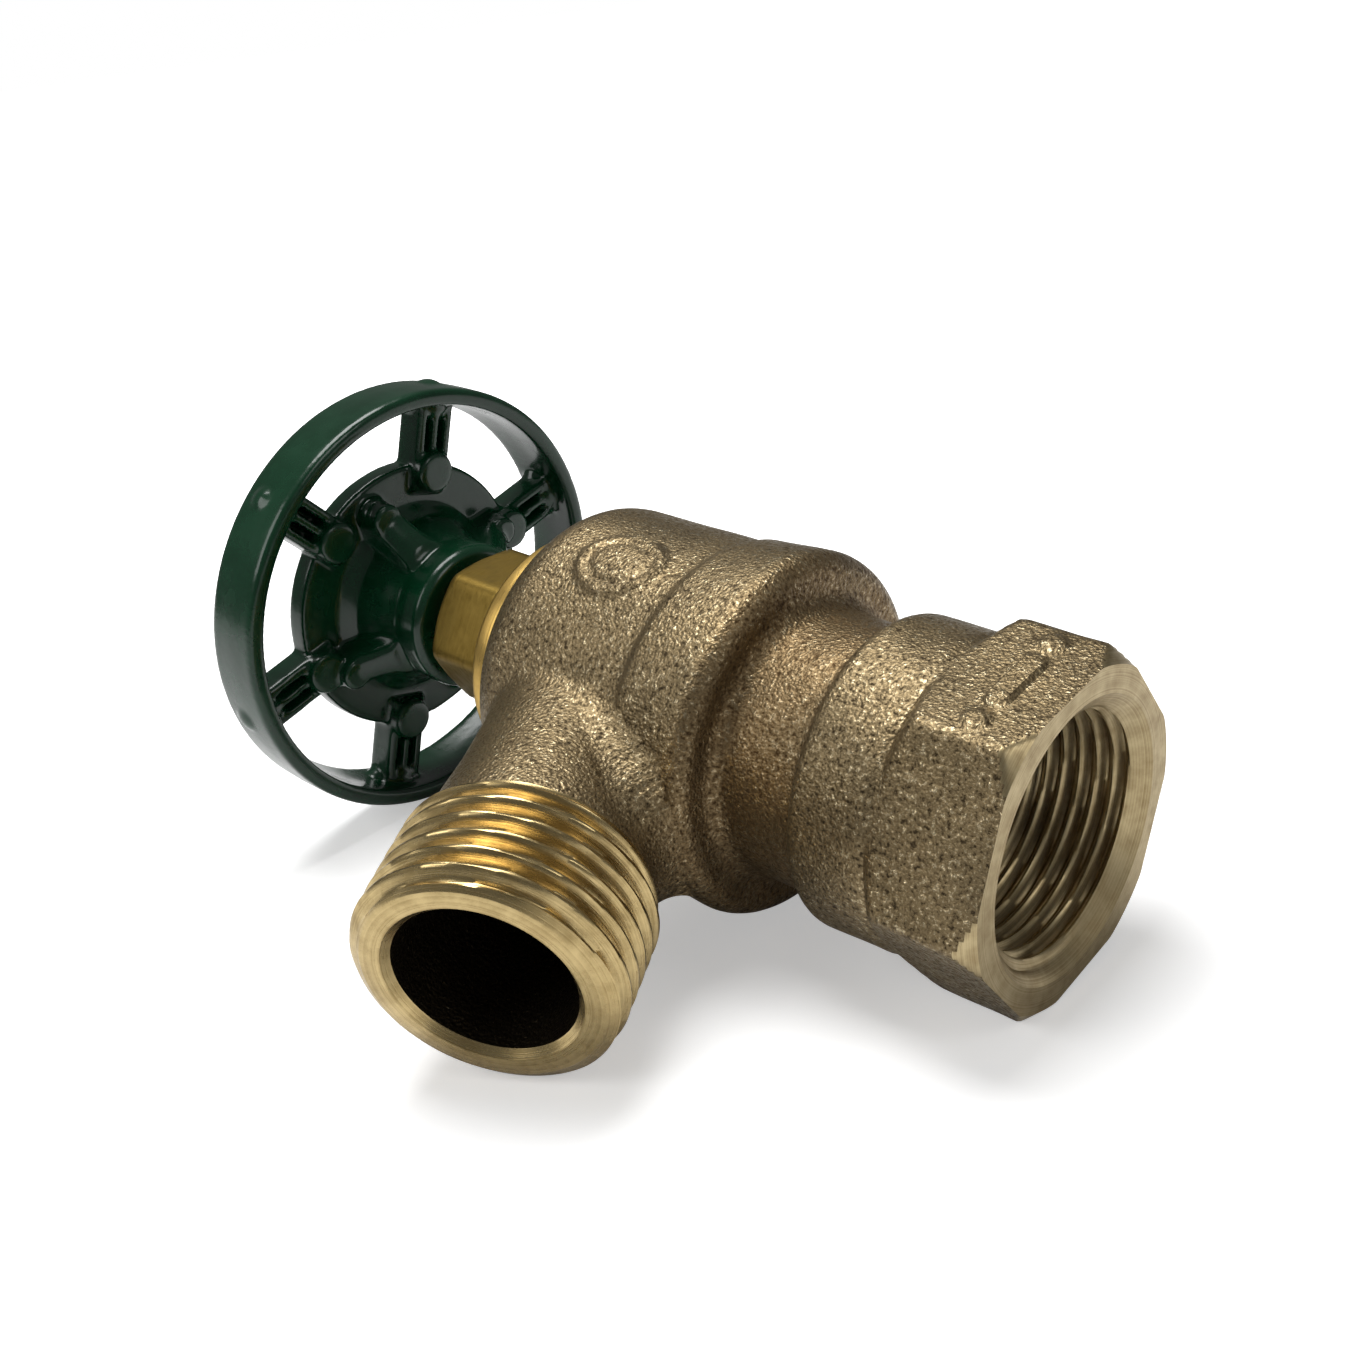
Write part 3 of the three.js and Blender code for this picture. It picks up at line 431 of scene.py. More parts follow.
def greenEnamel():
    # thick gloss paint: orange peel in the bump, and a few dull scuffs
    material, tree, shader = newFinish("greenEnamel")
    place = objectVector(tree)
    peel = addNode(tree, "ShaderNodeTexNoise", [
        ("Vector", place), ("Scale", enamelLook["peelScale"]), ("Detail", 1.5), ("Roughness", 0.5)])
    wide = addNode(tree, "ShaderNodeTexNoise", [
        ("Vector", place), ("Scale", enamelLook["patchScale"]), ("Detail", 4.0), ("Roughness", 0.6)])
    dust = addNode(tree, "ShaderNodeTexNoise", [
        ("Vector", place), ("Scale", enamelLook["dustScale"]), ("Detail", 2.0), ("Roughness", 0.7)])
    base = rampNode(tree, wide.outputs["Fac"], [(0.3, enamelLook["deep"]), (0.7, enamelLook["green"])])
    speck = rampNode(tree, dust.outputs["Fac"], enamelLook["dustStops"])
    tree.links.new(mixColour(tree, speck, base, enamelLook["dust"]), shader.inputs["Base Color"])
    tree.links.new(rampNode(tree, wide.outputs["Fac"], enamelLook["gloss"]), shader.inputs["Roughness"])
    shader.inputs["Specular IOR Level"].default_value = enamelLook["specular"]
    shader.inputs["Coat Weight"].default_value = enamelLook["coat"]
    shader.inputs["Coat Roughness"].default_value = enamelLook["coatRoughness"]
    addBump(tree, shader, peel.outputs["Fac"], enamelLook["depth"], enamelLook["bump"])
    return material


def plainGrain(name, colour, other, rough, scale, depth, metallic=0.0):
    # rubber, fibre or graphite: two close colours in a fine noise, with the noise as bump
    material, tree, shader = newFinish(name)
    noise = addNode(tree, "ShaderNodeTexNoise", [
        ("Vector", objectVector(tree)), ("Scale", scale), ("Detail", 4.0), ("Roughness", 0.6)])
    tint = rampNode(tree, noise.outputs["Fac"], [(0.35, colour), (0.65, other)])
    tree.links.new(tint, shader.inputs["Base Color"])
    gloss = rampNode(tree, noise.outputs["Fac"], [(0.3, rough), (0.7, rough * 0.8)])
    tree.links.new(gloss, shader.inputs["Roughness"])
    shader.inputs["Metallic"].default_value = metallic
    addBump(tree, shader, noise.outputs["Fac"], depth)
    return material


outletDip = math.radians(25)   # the outlet leans this far towards the inlet
outletHeight = 57.0            # where its axis crosses the stem's axis
outletStart = Vector((0, 0, outletHeight * mm))
outletAxes = (
    Vector((1, 0, 0)),
    Vector((0, -math.sin(outletDip), math.cos(outletDip))),
    Vector((0, -math.cos(outletDip), -math.sin(outletDip))),
)

cast = castBronze()
# the cast finish at 0.16 of its brightness, for the bores and passages: painted shade inside the casting
shadedInsideCast = castBronze("castBronzeInsidePaintedShade", paintedShadeScale=0.16)
inletBrass = turnedMetal(
    "turnedInlet", colour=(0.52, 0.42, 0.24), worn=(0.30, 0.22, 0.11), pitch=0.16, rough=(0.30, 0.46))
threadBrass = turnedMetal(
    "turnedHoseThread", colour=(0.60, 0.46, 0.225), worn=(0.34, 0.245, 0.105), pitch=0.16,
    rough=(0.20, 0.34), axes=(outletStart, outletAxes))
flangeBrass = turnedMetal(
    "turnedFlange", colour=(0.66, 0.44, 0.13), worn=(0.44, 0.28, 0.075), pitch=0.14, depth=0.010,
    rough=(0.26, 0.42))
nutBrass = turnedMetal(
    "dullNutBrass", colour=(0.30, 0.20, 0.048), worn=(0.17, 0.11, 0.022), pitch=0.5, rough=(0.34, 0.52))
innerBrass = turnedMetal(
    "innerBrass", colour=(0.62, 0.46, 0.18), worn=(0.38, 0.27, 0.10), depth=0.010)
zincSteel = turnedMetal(
    "zincSteel", colour=(0.62, 0.63, 0.64), worn=(0.40, 0.41, 0.42), pitch=0.15, depth=0.010,
    rough=(0.22, 0.40))
enamel = greenEnamel()
rubber = plainGrain(
    "blackRubber", colour=(0.012, 0.012, 0.013), other=(0.02, 0.02, 0.02), rough=0.75, scale=900.0,
    depth=0.02)
fibre = plainGrain(
    "greyFibre", colour=(0.06, 0.055, 0.045), other=(0.11, 0.10, 0.085), rough=0.9, scale=1500.0, depth=0.05)
graphite = plainGrain(
    "graphiteYarn", colour=(0.02, 0.02, 0.022), other=(0.05, 0.05, 0.055), rough=0.6, scale=1200.0,
    depth=0.05, metallic=0.3)
print("finishes ready")


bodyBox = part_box("valve_body")

threadStep = 0.19   # height between two rows of a helical thread

body = {
    "hexAcrossFlats": 32.4, "hexTurn": 3.0, "endFace": 17.0, "hexChamfer": 1.9, "hexCorner": 0.7,
    "backRadius": 18.9, "backFoot": 10.7, "backSlope": 1.5, "hexTop": 13.2, "core": 15.9, "coreTop": 10.9,
    "collar": 16.4, "collarTop": 20.6, "collarRound": 1.7, "neck": 14.4, "neckTop": 30.0, "neckFillet": 2.2,
    "bulge": 19.6, "shoulder": 34.5, "shoulderRound": 2.3, "barrel": 18.5,
    "top": bodyBox[1][2] / mm, "topFace": 14.0, "domeMiddle": 13.1, "domeFoot": 59.5,
    "columns": 240, "rowStep": 0.46,
    "pipeMajor": 13.15, "pipeDepth": 0.95, "pipePitch": 1.814, "pipeTaper": 1 / 32, "pipeEnd": 12.4,
    "mouth": 14.25, "bore": 11.7, "port": 9.2, "seat": 36.0, "seatRing": 11.2, "seatRise": 2.6,
    "chamber": 14.2, "bonnetBore": 12.3, "waviness": 0.05,
}

marks = {
    "height": 0.5, "reach": 0.9, "barHeight": 5.8, "barHalf": 2.9, "barRadius": 1.15, "dotApart": 6.5,
    "dotRadius": 1.25, "padTurn": 8, "padHeight": 51.0, "padHalf": (4.3, 5.2), "grooveHalf": (2.9, 3.8),
}

branch = {
    "height": outletHeight, "radius": 11.7, "endRadius": 12.2, "flareStart": 22, "root": 11.0,
    "face": 46.5, "faceRadius": 11.85, "bevelSlope": 1.45, "mouth": 9.9, "bore": 9.15, "passage": 8.5,
    "filletBelow": 5.5, "filletAbove": 2.6, "bite": 0.10,
    "threadMajor": 13.495, "threadDepth": 1.3, "threadPitch": 2.209, "threadStart": 33.4, "columns": 160,
}


def castProfile():
    # the casting's outline from the hexagon to the top face, as (radius, height): straight lines
    # and arcs, an arc being its middle plus reach times a cosine across and rise times a sine up
    def bow(radius, height, reach, rise, low, high, count):
        turn = np.radians(np.linspace(low, high, count))
        return np.column_stack([radius + reach * np.cos(turn), height + rise * np.sin(turn)])

    collarRound, neckFillet, shoulderRound = body["collarRound"], body["neckFillet"], body["shoulderRound"]
    domeReach = body["barrel"] - body["topFace"] + 0.9
    return np.concatenate([
        [[body["core"], 11.4], [16.1, 12.4], [body["collar"], 13.6]],
        bow(body["collar"] - collarRound, body["collarTop"], collarRound, collarRound, 0, 78, 9),
        [[body["neck"] + 0.12, 22.5], [body["neck"], 23.0]],
        bow(body["neck"] + neckFillet, body["neckTop"], -neckFillet, neckFillet, 0, 84, 9),
        bow(body["bulge"] - shoulderRound, body["shoulder"], shoulderRound, shoulderRound, -84, 0, 10),
        [[19.15, 41.7], [18.95, 42.2], [18.56, 42.7], [body["barrel"], 43.4]],
        bow(body["domeMiddle"], body["domeFoot"], domeReach, body["top"] - body["domeFoot"], 0, 84, 12),
    ])


def hexRadius(angles, apothem, soft):
    # distance to the nearer of two neighbouring flats, rounded at the corner between them
    fold = np.abs((angles + math.pi / 6) % (math.pi / 3) - math.pi / 6)
    return softMin(apothem / np.cos(fold), apothem / np.cos(math.pi / 3 - fold), soft)


def raisedMarks(angles, heights):
    # a bar between two dots on the flat of the hexagon, and an oval pad on the barrel: each is
    # a distance to its edge, turned into a height by a soft step
    flatTurn = math.radians(body["hexTurn"])
    away = (angles - flatTurn + math.pi) % fullTurn - math.pi
    across = np.tan(np.clip(away, -marks["reach"], marks["reach"])) * body["hexAcrossFlats"] / 2
    up = heights - marks["barHeight"]
    bar = np.hypot(np.maximum(np.abs(across) - marks["barHalf"], 0), up) - marks["barRadius"]
    dots = np.hypot(np.abs(across) - marks["dotApart"], up) - marks["dotRadius"]
    onFlat = np.minimum(bar, dots)
    side = ((angles + math.radians(marks["padTurn"]) + math.pi) % fullTurn - math.pi) * body["barrel"]
    padUp = heights - marks["padHeight"]
    padWide, padHigh = marks["padHalf"]
    grooveWide, grooveHigh = marks["grooveHalf"]
    oval = (np.hypot(side / padWide, padUp / padHigh) - 1) * 4.6
    groove = np.abs((np.hypot(side / grooveWide, padUp / grooveHigh) - 1) * 3.3) - 0.25
    raised = smoothStep(0.22, -0.14, onFlat) * (np.abs(away) < marks["reach"])
    pad = smoothStep(0.30, -0.16, oval) * (1 - 0.6 * smoothStep(0.3, -0.2, groove))
    return marks["height"] * np.maximum(raised, pad)


def bodyOutside():
    # radius over angle and height: the turned outline joined with a hexagon that a cone trims
    core = body["core"]
    profile = evenly(castProfile(), body["rowStep"])
    lower = np.column_stack([np.full(24, core), np.linspace(0, body["coreTop"], 24)])
    chamferRows = np.column_stack([np.full(6, core), np.linspace(0, body["hexChamfer"] + 0.2, 6)])
    outline = np.concatenate([chamferRows, lower[lower[:, 1] > body["hexChamfer"] + 0.5], profile])
    angles = (np.arange(body["columns"]) * fullTurn / body["columns"])[None]
    heights = outline[:, 1:2]
    prism = hexRadius(angles - math.radians(body["hexTurn"]), body["hexAcrossFlats"] / 2, body["hexCorner"])
    cone = body["endFace"] + heights
    back = body["backRadius"] - np.maximum(heights - body["backFoot"], 0) * body["backSlope"]
    trimmedBack = np.where(heights > 10, softMin(prism, back, 0.8), prism)
    hexagon = np.minimum(softMin(prism, cone, 0.15), trimmedBack)
    hexagon = np.where(heights > body["hexTop"], 10.0, hexagon)   # above its top it ends inside the casting
    radii = softMax(hexagon, np.broadcast_to(outline[:, :1], hexagon.shape), 0.35)
    wave = (np.sin(3 * angles + heights * 0.35) + np.sin(5 * angles - heights * 0.22 + 1.3)
            + np.sin(2 * angles + heights * 0.5 + 2.1)) * body["waviness"]
    radii = radii + raisedMarks(angles, heights) + wave * smoothStep(1.5, 5.0, heights) * smoothStep(
        body["top"], body["top"] - 4, heights)
    grid = turnedGrid(radii, outline[:, 1], body["columns"])
    middle = np.array([0, 0, 1.0])
    endRing = grid[:1] * np.array([0.5, 0.5, 1.0])
    topRing = grid[-1:] * np.array([0.6, 0.6, 0]) + middle * body["top"]
    return gridMesh("bodyOutside", np.concatenate([endRing, grid, topRing]))


def bodyInside():
    # socket with its helical pipe thread, port, raised seat, chamber and bonnet bore, as one plug
    threadRows = np.arange(1.1, body["pipeEnd"] + 1.2, threadStep)
    top = body["top"]
    lower = np.array([[body["mouth"] + 1.2, -1.2], [body["mouth"], 0.0], [body["mouth"] - 0.7, 0.56]])
    upper = np.array([
        [body["bore"], 14.2], [body["bore"], 25.4], [body["port"], 27.0], [body["port"], 35.6],
        [body["port"] + 0.4, body["seat"]], [body["seatRing"] - 0.4, body["seat"]],
        [body["seatRing"], body["seat"] - 0.4], [body["seatRing"], body["seat"] - body["seatRise"]],
        [body["chamber"] - 1.2, body["seat"] - body["seatRise"]], [body["chamber"], 34.6],
        [body["chamber"], top - 7.2], [body["bonnetBore"], top - 5.8], [body["bonnetBore"], top - 0.6],
        [body["bonnetBore"] + 0.7, top + 0.1], [body["bonnetBore"] + 0.7, top + 1.5]])
    columns = 160
    angles = (np.arange(columns) * fullTurn / columns)[None]
    heights = threadRows[:, None]
    crest = body["pipeMajor"] - body["pipeDepth"] - body["pipeTaper"] * heights
    depth = body["pipeDepth"] * smoothStep(body["pipeEnd"] + 0.8, body["pipeEnd"] - 1.2, heights)
    ridges = crest + depth * threadWave(heights / body["pipePitch"] - angles / fullTurn)
    mouthCone = body["mouth"] - 1.25 * heights
    thread = np.maximum(ridges, mouthCone)
    radii = np.concatenate([
        np.repeat(lower[:, :1], columns, 1), thread, np.repeat(upper[:, :1], columns, 1)])
    allHeights = np.concatenate([lower[:, 1], threadRows, upper[:, 1]])
    return gridMesh("bodyInside", turnedGrid(radii, allHeights, columns))


def branchOutside():
    # a ball rolls between branch and casting; its arc leads from the casting onto the branch,
    # and from there the radius follows the length up to the helical hose thread and the end face
    start = np.array([0, 0, branch["height"]])
    across, up, along = (np.array(axis) for axis in outletAxes)
    phi = np.arange(branch["columns"]) * fullTurn / branch["columns"]
    side = np.cos(phi)[:, None] * across + np.sin(phi)[:, None] * up
    share = (1 + np.sin(phi)) / 2
    ball = branch["filletBelow"] + share * (branch["filletAbove"] - branch["filletBelow"])
    outline = evenly(castProfile(), 0.06)

    def nearest(length):
        points = start + side * (branch["radius"] + ball)[:, None] + along * length[:, None]
        level = np.hypot(points[:, 0], points[:, 1])
        apart = np.hypot(level[:, None] - outline[None, :, 0], points[:, 2:3] - outline[None, :, 1])
        return points, level, apart.min(1), apart.argmin(1)

    length = np.full(branch["columns"], 40.0)
    for step in (0.5, 0.05, 0.005):
        length += step * 2
        for _ in range(80):
            length = np.where(nearest(length)[2] > ball - branch["bite"], length - step, length)
    centre, level, _, index = nearest(length)
    foot = outline[index]
    onCast = np.column_stack([centre[:, :2] * (foot[:, :1] / level[:, None]), foot[:, 1]])
    toCast = onCast - centre
    toCast /= np.linalg.norm(toCast, axis=1, keepdims=True)
    toBranch = -side
    spread = np.arccos(np.clip((toCast * toBranch).sum(1), -1, 1))[None, :, None]
    t = np.linspace(0, 1, 15)[:, None, None]
    arc = (np.sin((1 - t) * spread) * toCast + np.sin(t * spread) * toBranch) / np.sin(spread)
    fillet = centre + arc * ball[None, :, None]
    deep = (onCast + toCast * 1.5)[None]
    tangent = (centre - start) @ along

    threadRows = np.arange(branch["threadStart"] - 1.6, branch["face"] - 0.02, threadStep)
    neckRows = np.linspace(0.12, 0.97, 12)
    threadLow = threadRows[0]
    neckLength = tangent[None] + neckRows[:, None] * (threadLow - tangent[None])
    neckRadius = branch["radius"] + (branch["endRadius"] - branch["radius"]) * smoothStep(
        branch["flareStart"], threadLow, neckLength)
    turns = (threadRows[:, None] - branch["threadStart"]) / branch["threadPitch"] - phi[None] / fullTurn
    threadRoot = branch["threadMajor"] - branch["threadDepth"]
    fadeIn = smoothStep(branch["threadStart"] - 1.4, branch["threadStart"] + 0.6, threadRows)[:, None]
    ridges = threadRoot + branch["threadDepth"] * threadWave(turns) * fadeIn
    bevel = branch["faceRadius"] + (branch["face"] - threadRows[:, None]) * branch["bevelSlope"]
    threadRadius = np.minimum(ridges, bevel)
    lengths = np.concatenate([neckLength, np.repeat(threadRows[:, None], branch["columns"], 1)])
    radii = np.concatenate([neckRadius, threadRadius])
    tube = start + side[None] * radii[..., None] + along * lengths[..., None]
    face = start + side[None] * branch["faceRadius"] + along * branch["face"]
    inner = start + side[None] * 5.0 + along * branch["face"]
    rootRing = start + side[None] * (branch["radius"] - 1.2) + along * branch["root"]
    return gridMesh("branchOutside", np.concatenate([rootRing, deep, fillet, tube, face, inner]))


def branchInside():
    # the passage, the wider hose bore and its bevelled mouth, round the outlet axis
    profile = np.array([
        [branch["passage"], 5.0], [branch["passage"], 35.0], [branch["bore"], 36.4],
        [branch["bore"], branch["face"] - 0.75], [branch["mouth"], branch["face"]],
        [branch["mouth"] + 0.8, branch["face"] + 0.8]])
    mesh = gridMesh("branchInside", turnedGrid(profile[:, 0], profile[:, 1], 128))
    across, up, along = outletAxes
    frameMatrix = Matrix((across, up, along)).transposed().to_4x4()
    return moved(mesh, Matrix.Translation(outletStart) @ frameMatrix)


def bodyFinishes(mesh):
    # each face takes its finish from where its middle lies, by the order of the casting's materials; the
    # bores and passages take the cast finish darkened as painted shade
    inlet, hoseThread, inside = 1, 2, 3   # the cast skin is 0
    centre = faceCentres(mesh)
    level = np.hypot(centre[:, 0], centre[:, 1])
    out = centre - np.array([0, 0, branch["height"]])
    along = out @ np.array(outletAxes[2])
    outletRadius = np.linalg.norm(out - along[:, None] * np.array(outletAxes[2]), axis=1)
    height = centre[:, 2]
    finish = np.zeros(len(centre), np.int32)
    finish[(level < body["mouth"] + 0.3) & (height < body["pipeEnd"] + 1.0)] = inlet
    finish[height < 0.03] = inlet
    finish[(level > body["endFace"] + height - 0.12) & (height < body["hexChamfer"] + 0.6)] = inlet
    finish[height > body["top"] - 0.05] = inlet
    belowSeat = height < body["seat"] - body["seatRise"] - 0.1
    wall = np.where(belowSeat, body["bore"] + 0.1, body["chamber"] + 0.1)
    finish[(level < wall) & (height > body["pipeEnd"] + 1.0) & (height < body["top"] - 0.1)] = inside
    finish[(outletRadius < branch["bore"] + 0.05) & (along > 10)] = inside
    onThread = (along > branch["threadStart"] - 1.5) & (outletRadius > branch["bore"] + 0.06)
    finish[onThread & (outletRadius < branch["threadMajor"] + 0.1)] = hoseThread
    mesh.polygons.foreach_set("material_index", finish)


outside = boolean(bodyOutside(), [branchOutside()], "UNION")
valveBody = boolean(outside, [bodyInside(), branchInside()], "DIFFERENCE")
addPiece("valve_body_casting", valveBody, "casing", ["valve_body"],
         [cast, inletBrass, threadBrass, shadedInsideCast])
bodyFinishes(valveBody)
print("valve body", len(valveBody.polygons))


def hexPrism(name, acrossFlats, low, high, turn, soft, chamfer, columns=144):
    # a hexagon whose height is trimmed at both ends by a cone, drawn in over "chamfer"
    rise = np.linspace(0, 1, 5)
    heights = np.concatenate([
        low + chamfer * rise * 0.6, np.linspace(low + chamfer, high - chamfer, 8),
        high - chamfer * rise[::-1] * 0.6])
    angles = (np.arange(columns) * fullTurn / columns)[None]
    prism = hexRadius(angles - math.radians(turn), acrossFlats / 2, soft)
    corner = acrossFlats / 2 / math.cos(math.pi / 6)
    inset = np.maximum(chamfer * 0.6 - np.minimum(heights - low, high - heights), 0)[:, None] * 1.6
    radii = softMin(prism, corner - inset * 1.1, 0.3)
    return gridMesh(name, turnedGrid(radii, heights, columns))


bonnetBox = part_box("bonnet")
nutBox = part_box("packing_nut")
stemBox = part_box("stem")

bonnetSizes = {
    "noseTip": 7.4, "nose": 7.6, "noseFoot": bonnetBox[0][2] / mm, "thread": 12.0, "threadFoot": 59.5,
    "flange": bonnetBox[1][0] / mm, "flangeFoot": 66.1, "flangeTop": 68.5,
    "neck": 6.5, "neckTop": bonnetBox[1][2] / mm,
    "bore": 4.95, "boreTop": 69.4, "throat": 3.95, "throatFoot": 70.2, "throatTop": 71.6, "packingBox": 5.3,
}
nutSizes = {
    "acrossFlats": 16.4, "foot": nutBox[0][2] / mm, "top": nutBox[1][2] / mm, "turn": 10.0,
    "corner": 0.9, "chamfer": 1.4, "bore": 6.8, "cap": 1.6, "stemHole": 3.95,
}

bonnetOutside = turnedMesh("bonnetOutside", [
    [0, bonnetSizes["noseFoot"]], [bonnetSizes["noseTip"], bonnetSizes["noseFoot"]],
    [bonnetSizes["nose"], 54.2], [bonnetSizes["nose"], bonnetSizes["threadFoot"]],
    [bonnetSizes["thread"], bonnetSizes["threadFoot"]], [bonnetSizes["thread"], bonnetSizes["flangeFoot"]],
    [bonnetSizes["flange"], bonnetSizes["flangeFoot"]], [bonnetSizes["flange"], bonnetSizes["flangeTop"]],
    [bonnetSizes["neck"], bonnetSizes["flangeTop"]], [bonnetSizes["neck"], bonnetSizes["neckTop"]],
    [0, bonnetSizes["neckTop"]]], 128, 0.45)
# the tools that cut the ways through bonnet and nut reach past both of their ends
bonnetInside = turnedMesh("bonnetInside", [
    [0, 50], [bonnetSizes["bore"], 50], [bonnetSizes["bore"], bonnetSizes["boreTop"]],
    [bonnetSizes["throat"], bonnetSizes["throatFoot"]], [bonnetSizes["throat"], bonnetSizes["throatTop"]],
    [bonnetSizes["packingBox"], bonnetSizes["throatTop"]], [bonnetSizes["packingBox"], 80],
    [0, 80]], 64, 0.15)
addPiece("bonnet_turned", boolean(bonnetOutside, [bonnetInside], "DIFFERENCE"), "casing", ["bonnet"],
         [flangeBrass])

nutOutside = hexPrism("nutOutside", nutSizes["acrossFlats"], nutSizes["foot"], nutSizes["top"],
                      nutSizes["turn"], nutSizes["corner"], nutSizes["chamfer"])
nutInside = turnedMesh("nutInside", [
    [0, 60], [nutSizes["bore"], 60], [nutSizes["bore"], nutSizes["top"] - nutSizes["cap"]],
    [nutSizes["stemHole"], nutSizes["top"] - nutSizes["cap"]], [nutSizes["stemHole"], 90], [0, 90]], 64, 0.15)
addPiece("packing_nut_hexagon", boolean(nutOutside, [nutInside], "DIFFERENCE"), "casing", ["packing_nut"],
         [nutBrass])

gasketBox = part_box("bonnet_gasket")
addPiece("bonnet_gasket_ring", turnedMesh("gasket", [
    [12.35, gasketBox[0][2] / mm - 0.25], [13.2, gasketBox[0][2] / mm - 0.25],
    [13.2, gasketBox[1][2] / mm + 0.25], [12.35, gasketBox[1][2] / mm + 0.25]], 128, 0.2, True),
    "casing", ["bonnet_gasket"], [fibre])


stemSizes = {
    "foot": [[5.0, 41.3], [5.2, 41.6], [5.2, 42.9], [5.0, 43.1], [3.0, 43.1], [3.0, 46.8], [4.0, 47.4]],
    "threadFoot": 47.6, "threadTop": 61.0, "rowStep": 0.22, "core": 4.0, "threadDepth": 0.6, "pitch": 2.2,
    "shank": [[3.6, 61.3], [3.6, 74.0], [3.6, 87.9], [3.4, 88.0]],
    "squareHalf": 2.6, "squareCorner": 3.4, "squareRows": [88.05, 96.3, stemBox[1][2] / mm],
    "screwHole": 1.7, "screwHoleFoot": 89.6,
}


def stemMesh():
    # radius over angle and height: button, neck, helical thread, round shank, then the square
    foot = np.array(stemSizes["foot"])
    rows = np.arange(stemSizes["threadFoot"], stemSizes["threadTop"], stemSizes["rowStep"])
    shank = np.array(stemSizes["shank"])
    columns = 96
    angles = (np.arange(columns) * fullTurn / columns)[None]
    fade = smoothStep(stemSizes["threadFoot"], 48.4, rows) * smoothStep(stemSizes["threadTop"], 60.0, rows)
    wave = threadWave(rows[:, None] / stemSizes["pitch"] - angles / fullTurn)
    thread = stemSizes["core"] + stemSizes["threadDepth"] * fade[:, None] * wave
    fold = np.abs((angles + math.pi / 4) % (math.pi / 2) - math.pi / 4)
    square = np.minimum(stemSizes["squareHalf"] / np.cos(fold), stemSizes["squareCorner"])
    radii = np.concatenate([
        np.repeat(foot[:, :1], columns, 1), thread, np.repeat(shank[:, :1], columns, 1),
        square * np.array([[1], [1], [0.93]])])
    heights = np.concatenate([foot[:, 1], rows, shank[:, 1], np.array(stemSizes["squareRows"])])
    hole = turnedMesh("screwHole", [
        [0, stemSizes["screwHoleFoot"]], [stemSizes["screwHole"], stemSizes["screwHoleFoot"]],
        [stemSizes["screwHole"], 98], [0, 98]], 32, 0.05)
    return boolean(gridMesh("stem", turnedGrid(radii, heights, columns)), [hole], "DIFFERENCE")


addPiece("stem_spindle", stemMesh(), "stem", ["stem"], [innerBrass])

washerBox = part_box("wheel_washer")
addPiece("wheel_washer_round", turnedMesh("wheelWasher", [
    [2.0, washerBox[0][2] / mm], [6.0, washerBox[0][2] / mm],
    [6.0, washerBox[1][2] / mm], [2.0, washerBox[1][2] / mm]], 96, 0.25, True),
    "stem", ["wheel_washer"], [zincSteel])

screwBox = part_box("wheel_screw")
headFoot = washerBox[1][2] / mm + 0.3
screwTop = screwBox[1][2] / mm
screwBody = turnedMesh("wheelScrew", [
    [0, screwBox[0][2] / mm], [1.4, screwBox[0][2] / mm], [1.4, headFoot], [4.0, headFoot],
    [4.0, headFoot + 1.1], [3.3, screwTop - 0.55], [1.8, screwTop], [0, screwTop]], 96, 0.5)
screwSlot = moved(softBlock("slot", [-5, -0.5, screwTop - 1.1], [5, 0.5, screwTop + 1], 0.1), turnZ(35))
addPiece("wheel_screw_slotted", boolean(screwBody, [screwSlot], "DIFFERENCE"), "stem", ["wheel_screw"],
         [zincSteel])

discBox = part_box("seat_disc")
addPiece("seat_disc_round", turnedMesh("seatDisc", [
    [1.9, discBox[0][2] / mm], [11.6, discBox[0][2] / mm], [11.6, discBox[1][2] / mm],
    [1.9, discBox[1][2] / mm]], 96, 0.4, True), "disc", ["seat_disc"], [rubber])
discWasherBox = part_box("disc_washer")
addPiece("disc_washer_round", turnedMesh("discWasher", [
    [1.9, discWasherBox[0][2] / mm], [4.6, discWasherBox[0][2] / mm], [4.6, discWasherBox[1][2] / mm],
    [1.9, discWasherBox[1][2] / mm]], 72, 0.2, True), "disc", ["disc_washer"], [innerBrass])
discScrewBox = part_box("disc_screw")
discHead = hexPrism("discHead", 5.5, discScrewBox[0][2] / mm, discScrewBox[0][2] / mm + 2.2, 0, 0.3, 0.4)
discShank = turnedMesh("discShank", [
    [0, discScrewBox[0][2] / mm + 1], [1.6, discScrewBox[0][2] / mm + 1], [1.6, discScrewBox[1][2] / mm],
    [0, discScrewBox[1][2] / mm]], 48, 0.2)
addPiece("disc_screw_hexagon", boolean(discHead, [discShank], "UNION"), "disc", ["disc_screw"],
         [zincSteel])

innerFinishes = {
    "packing_washer": innerBrass, "packing_gland": innerBrass, "disc_holder": innerBrass,
    "disc_holder_nut": innerBrass, "packing_ring_1": graphite, "packing_ring_2": graphite,
}
for node, finish in innerFinishes.items():
    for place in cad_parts[node].material_slots:
        place.material = finish
print("turned pieces ready")


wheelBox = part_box("handwheel")

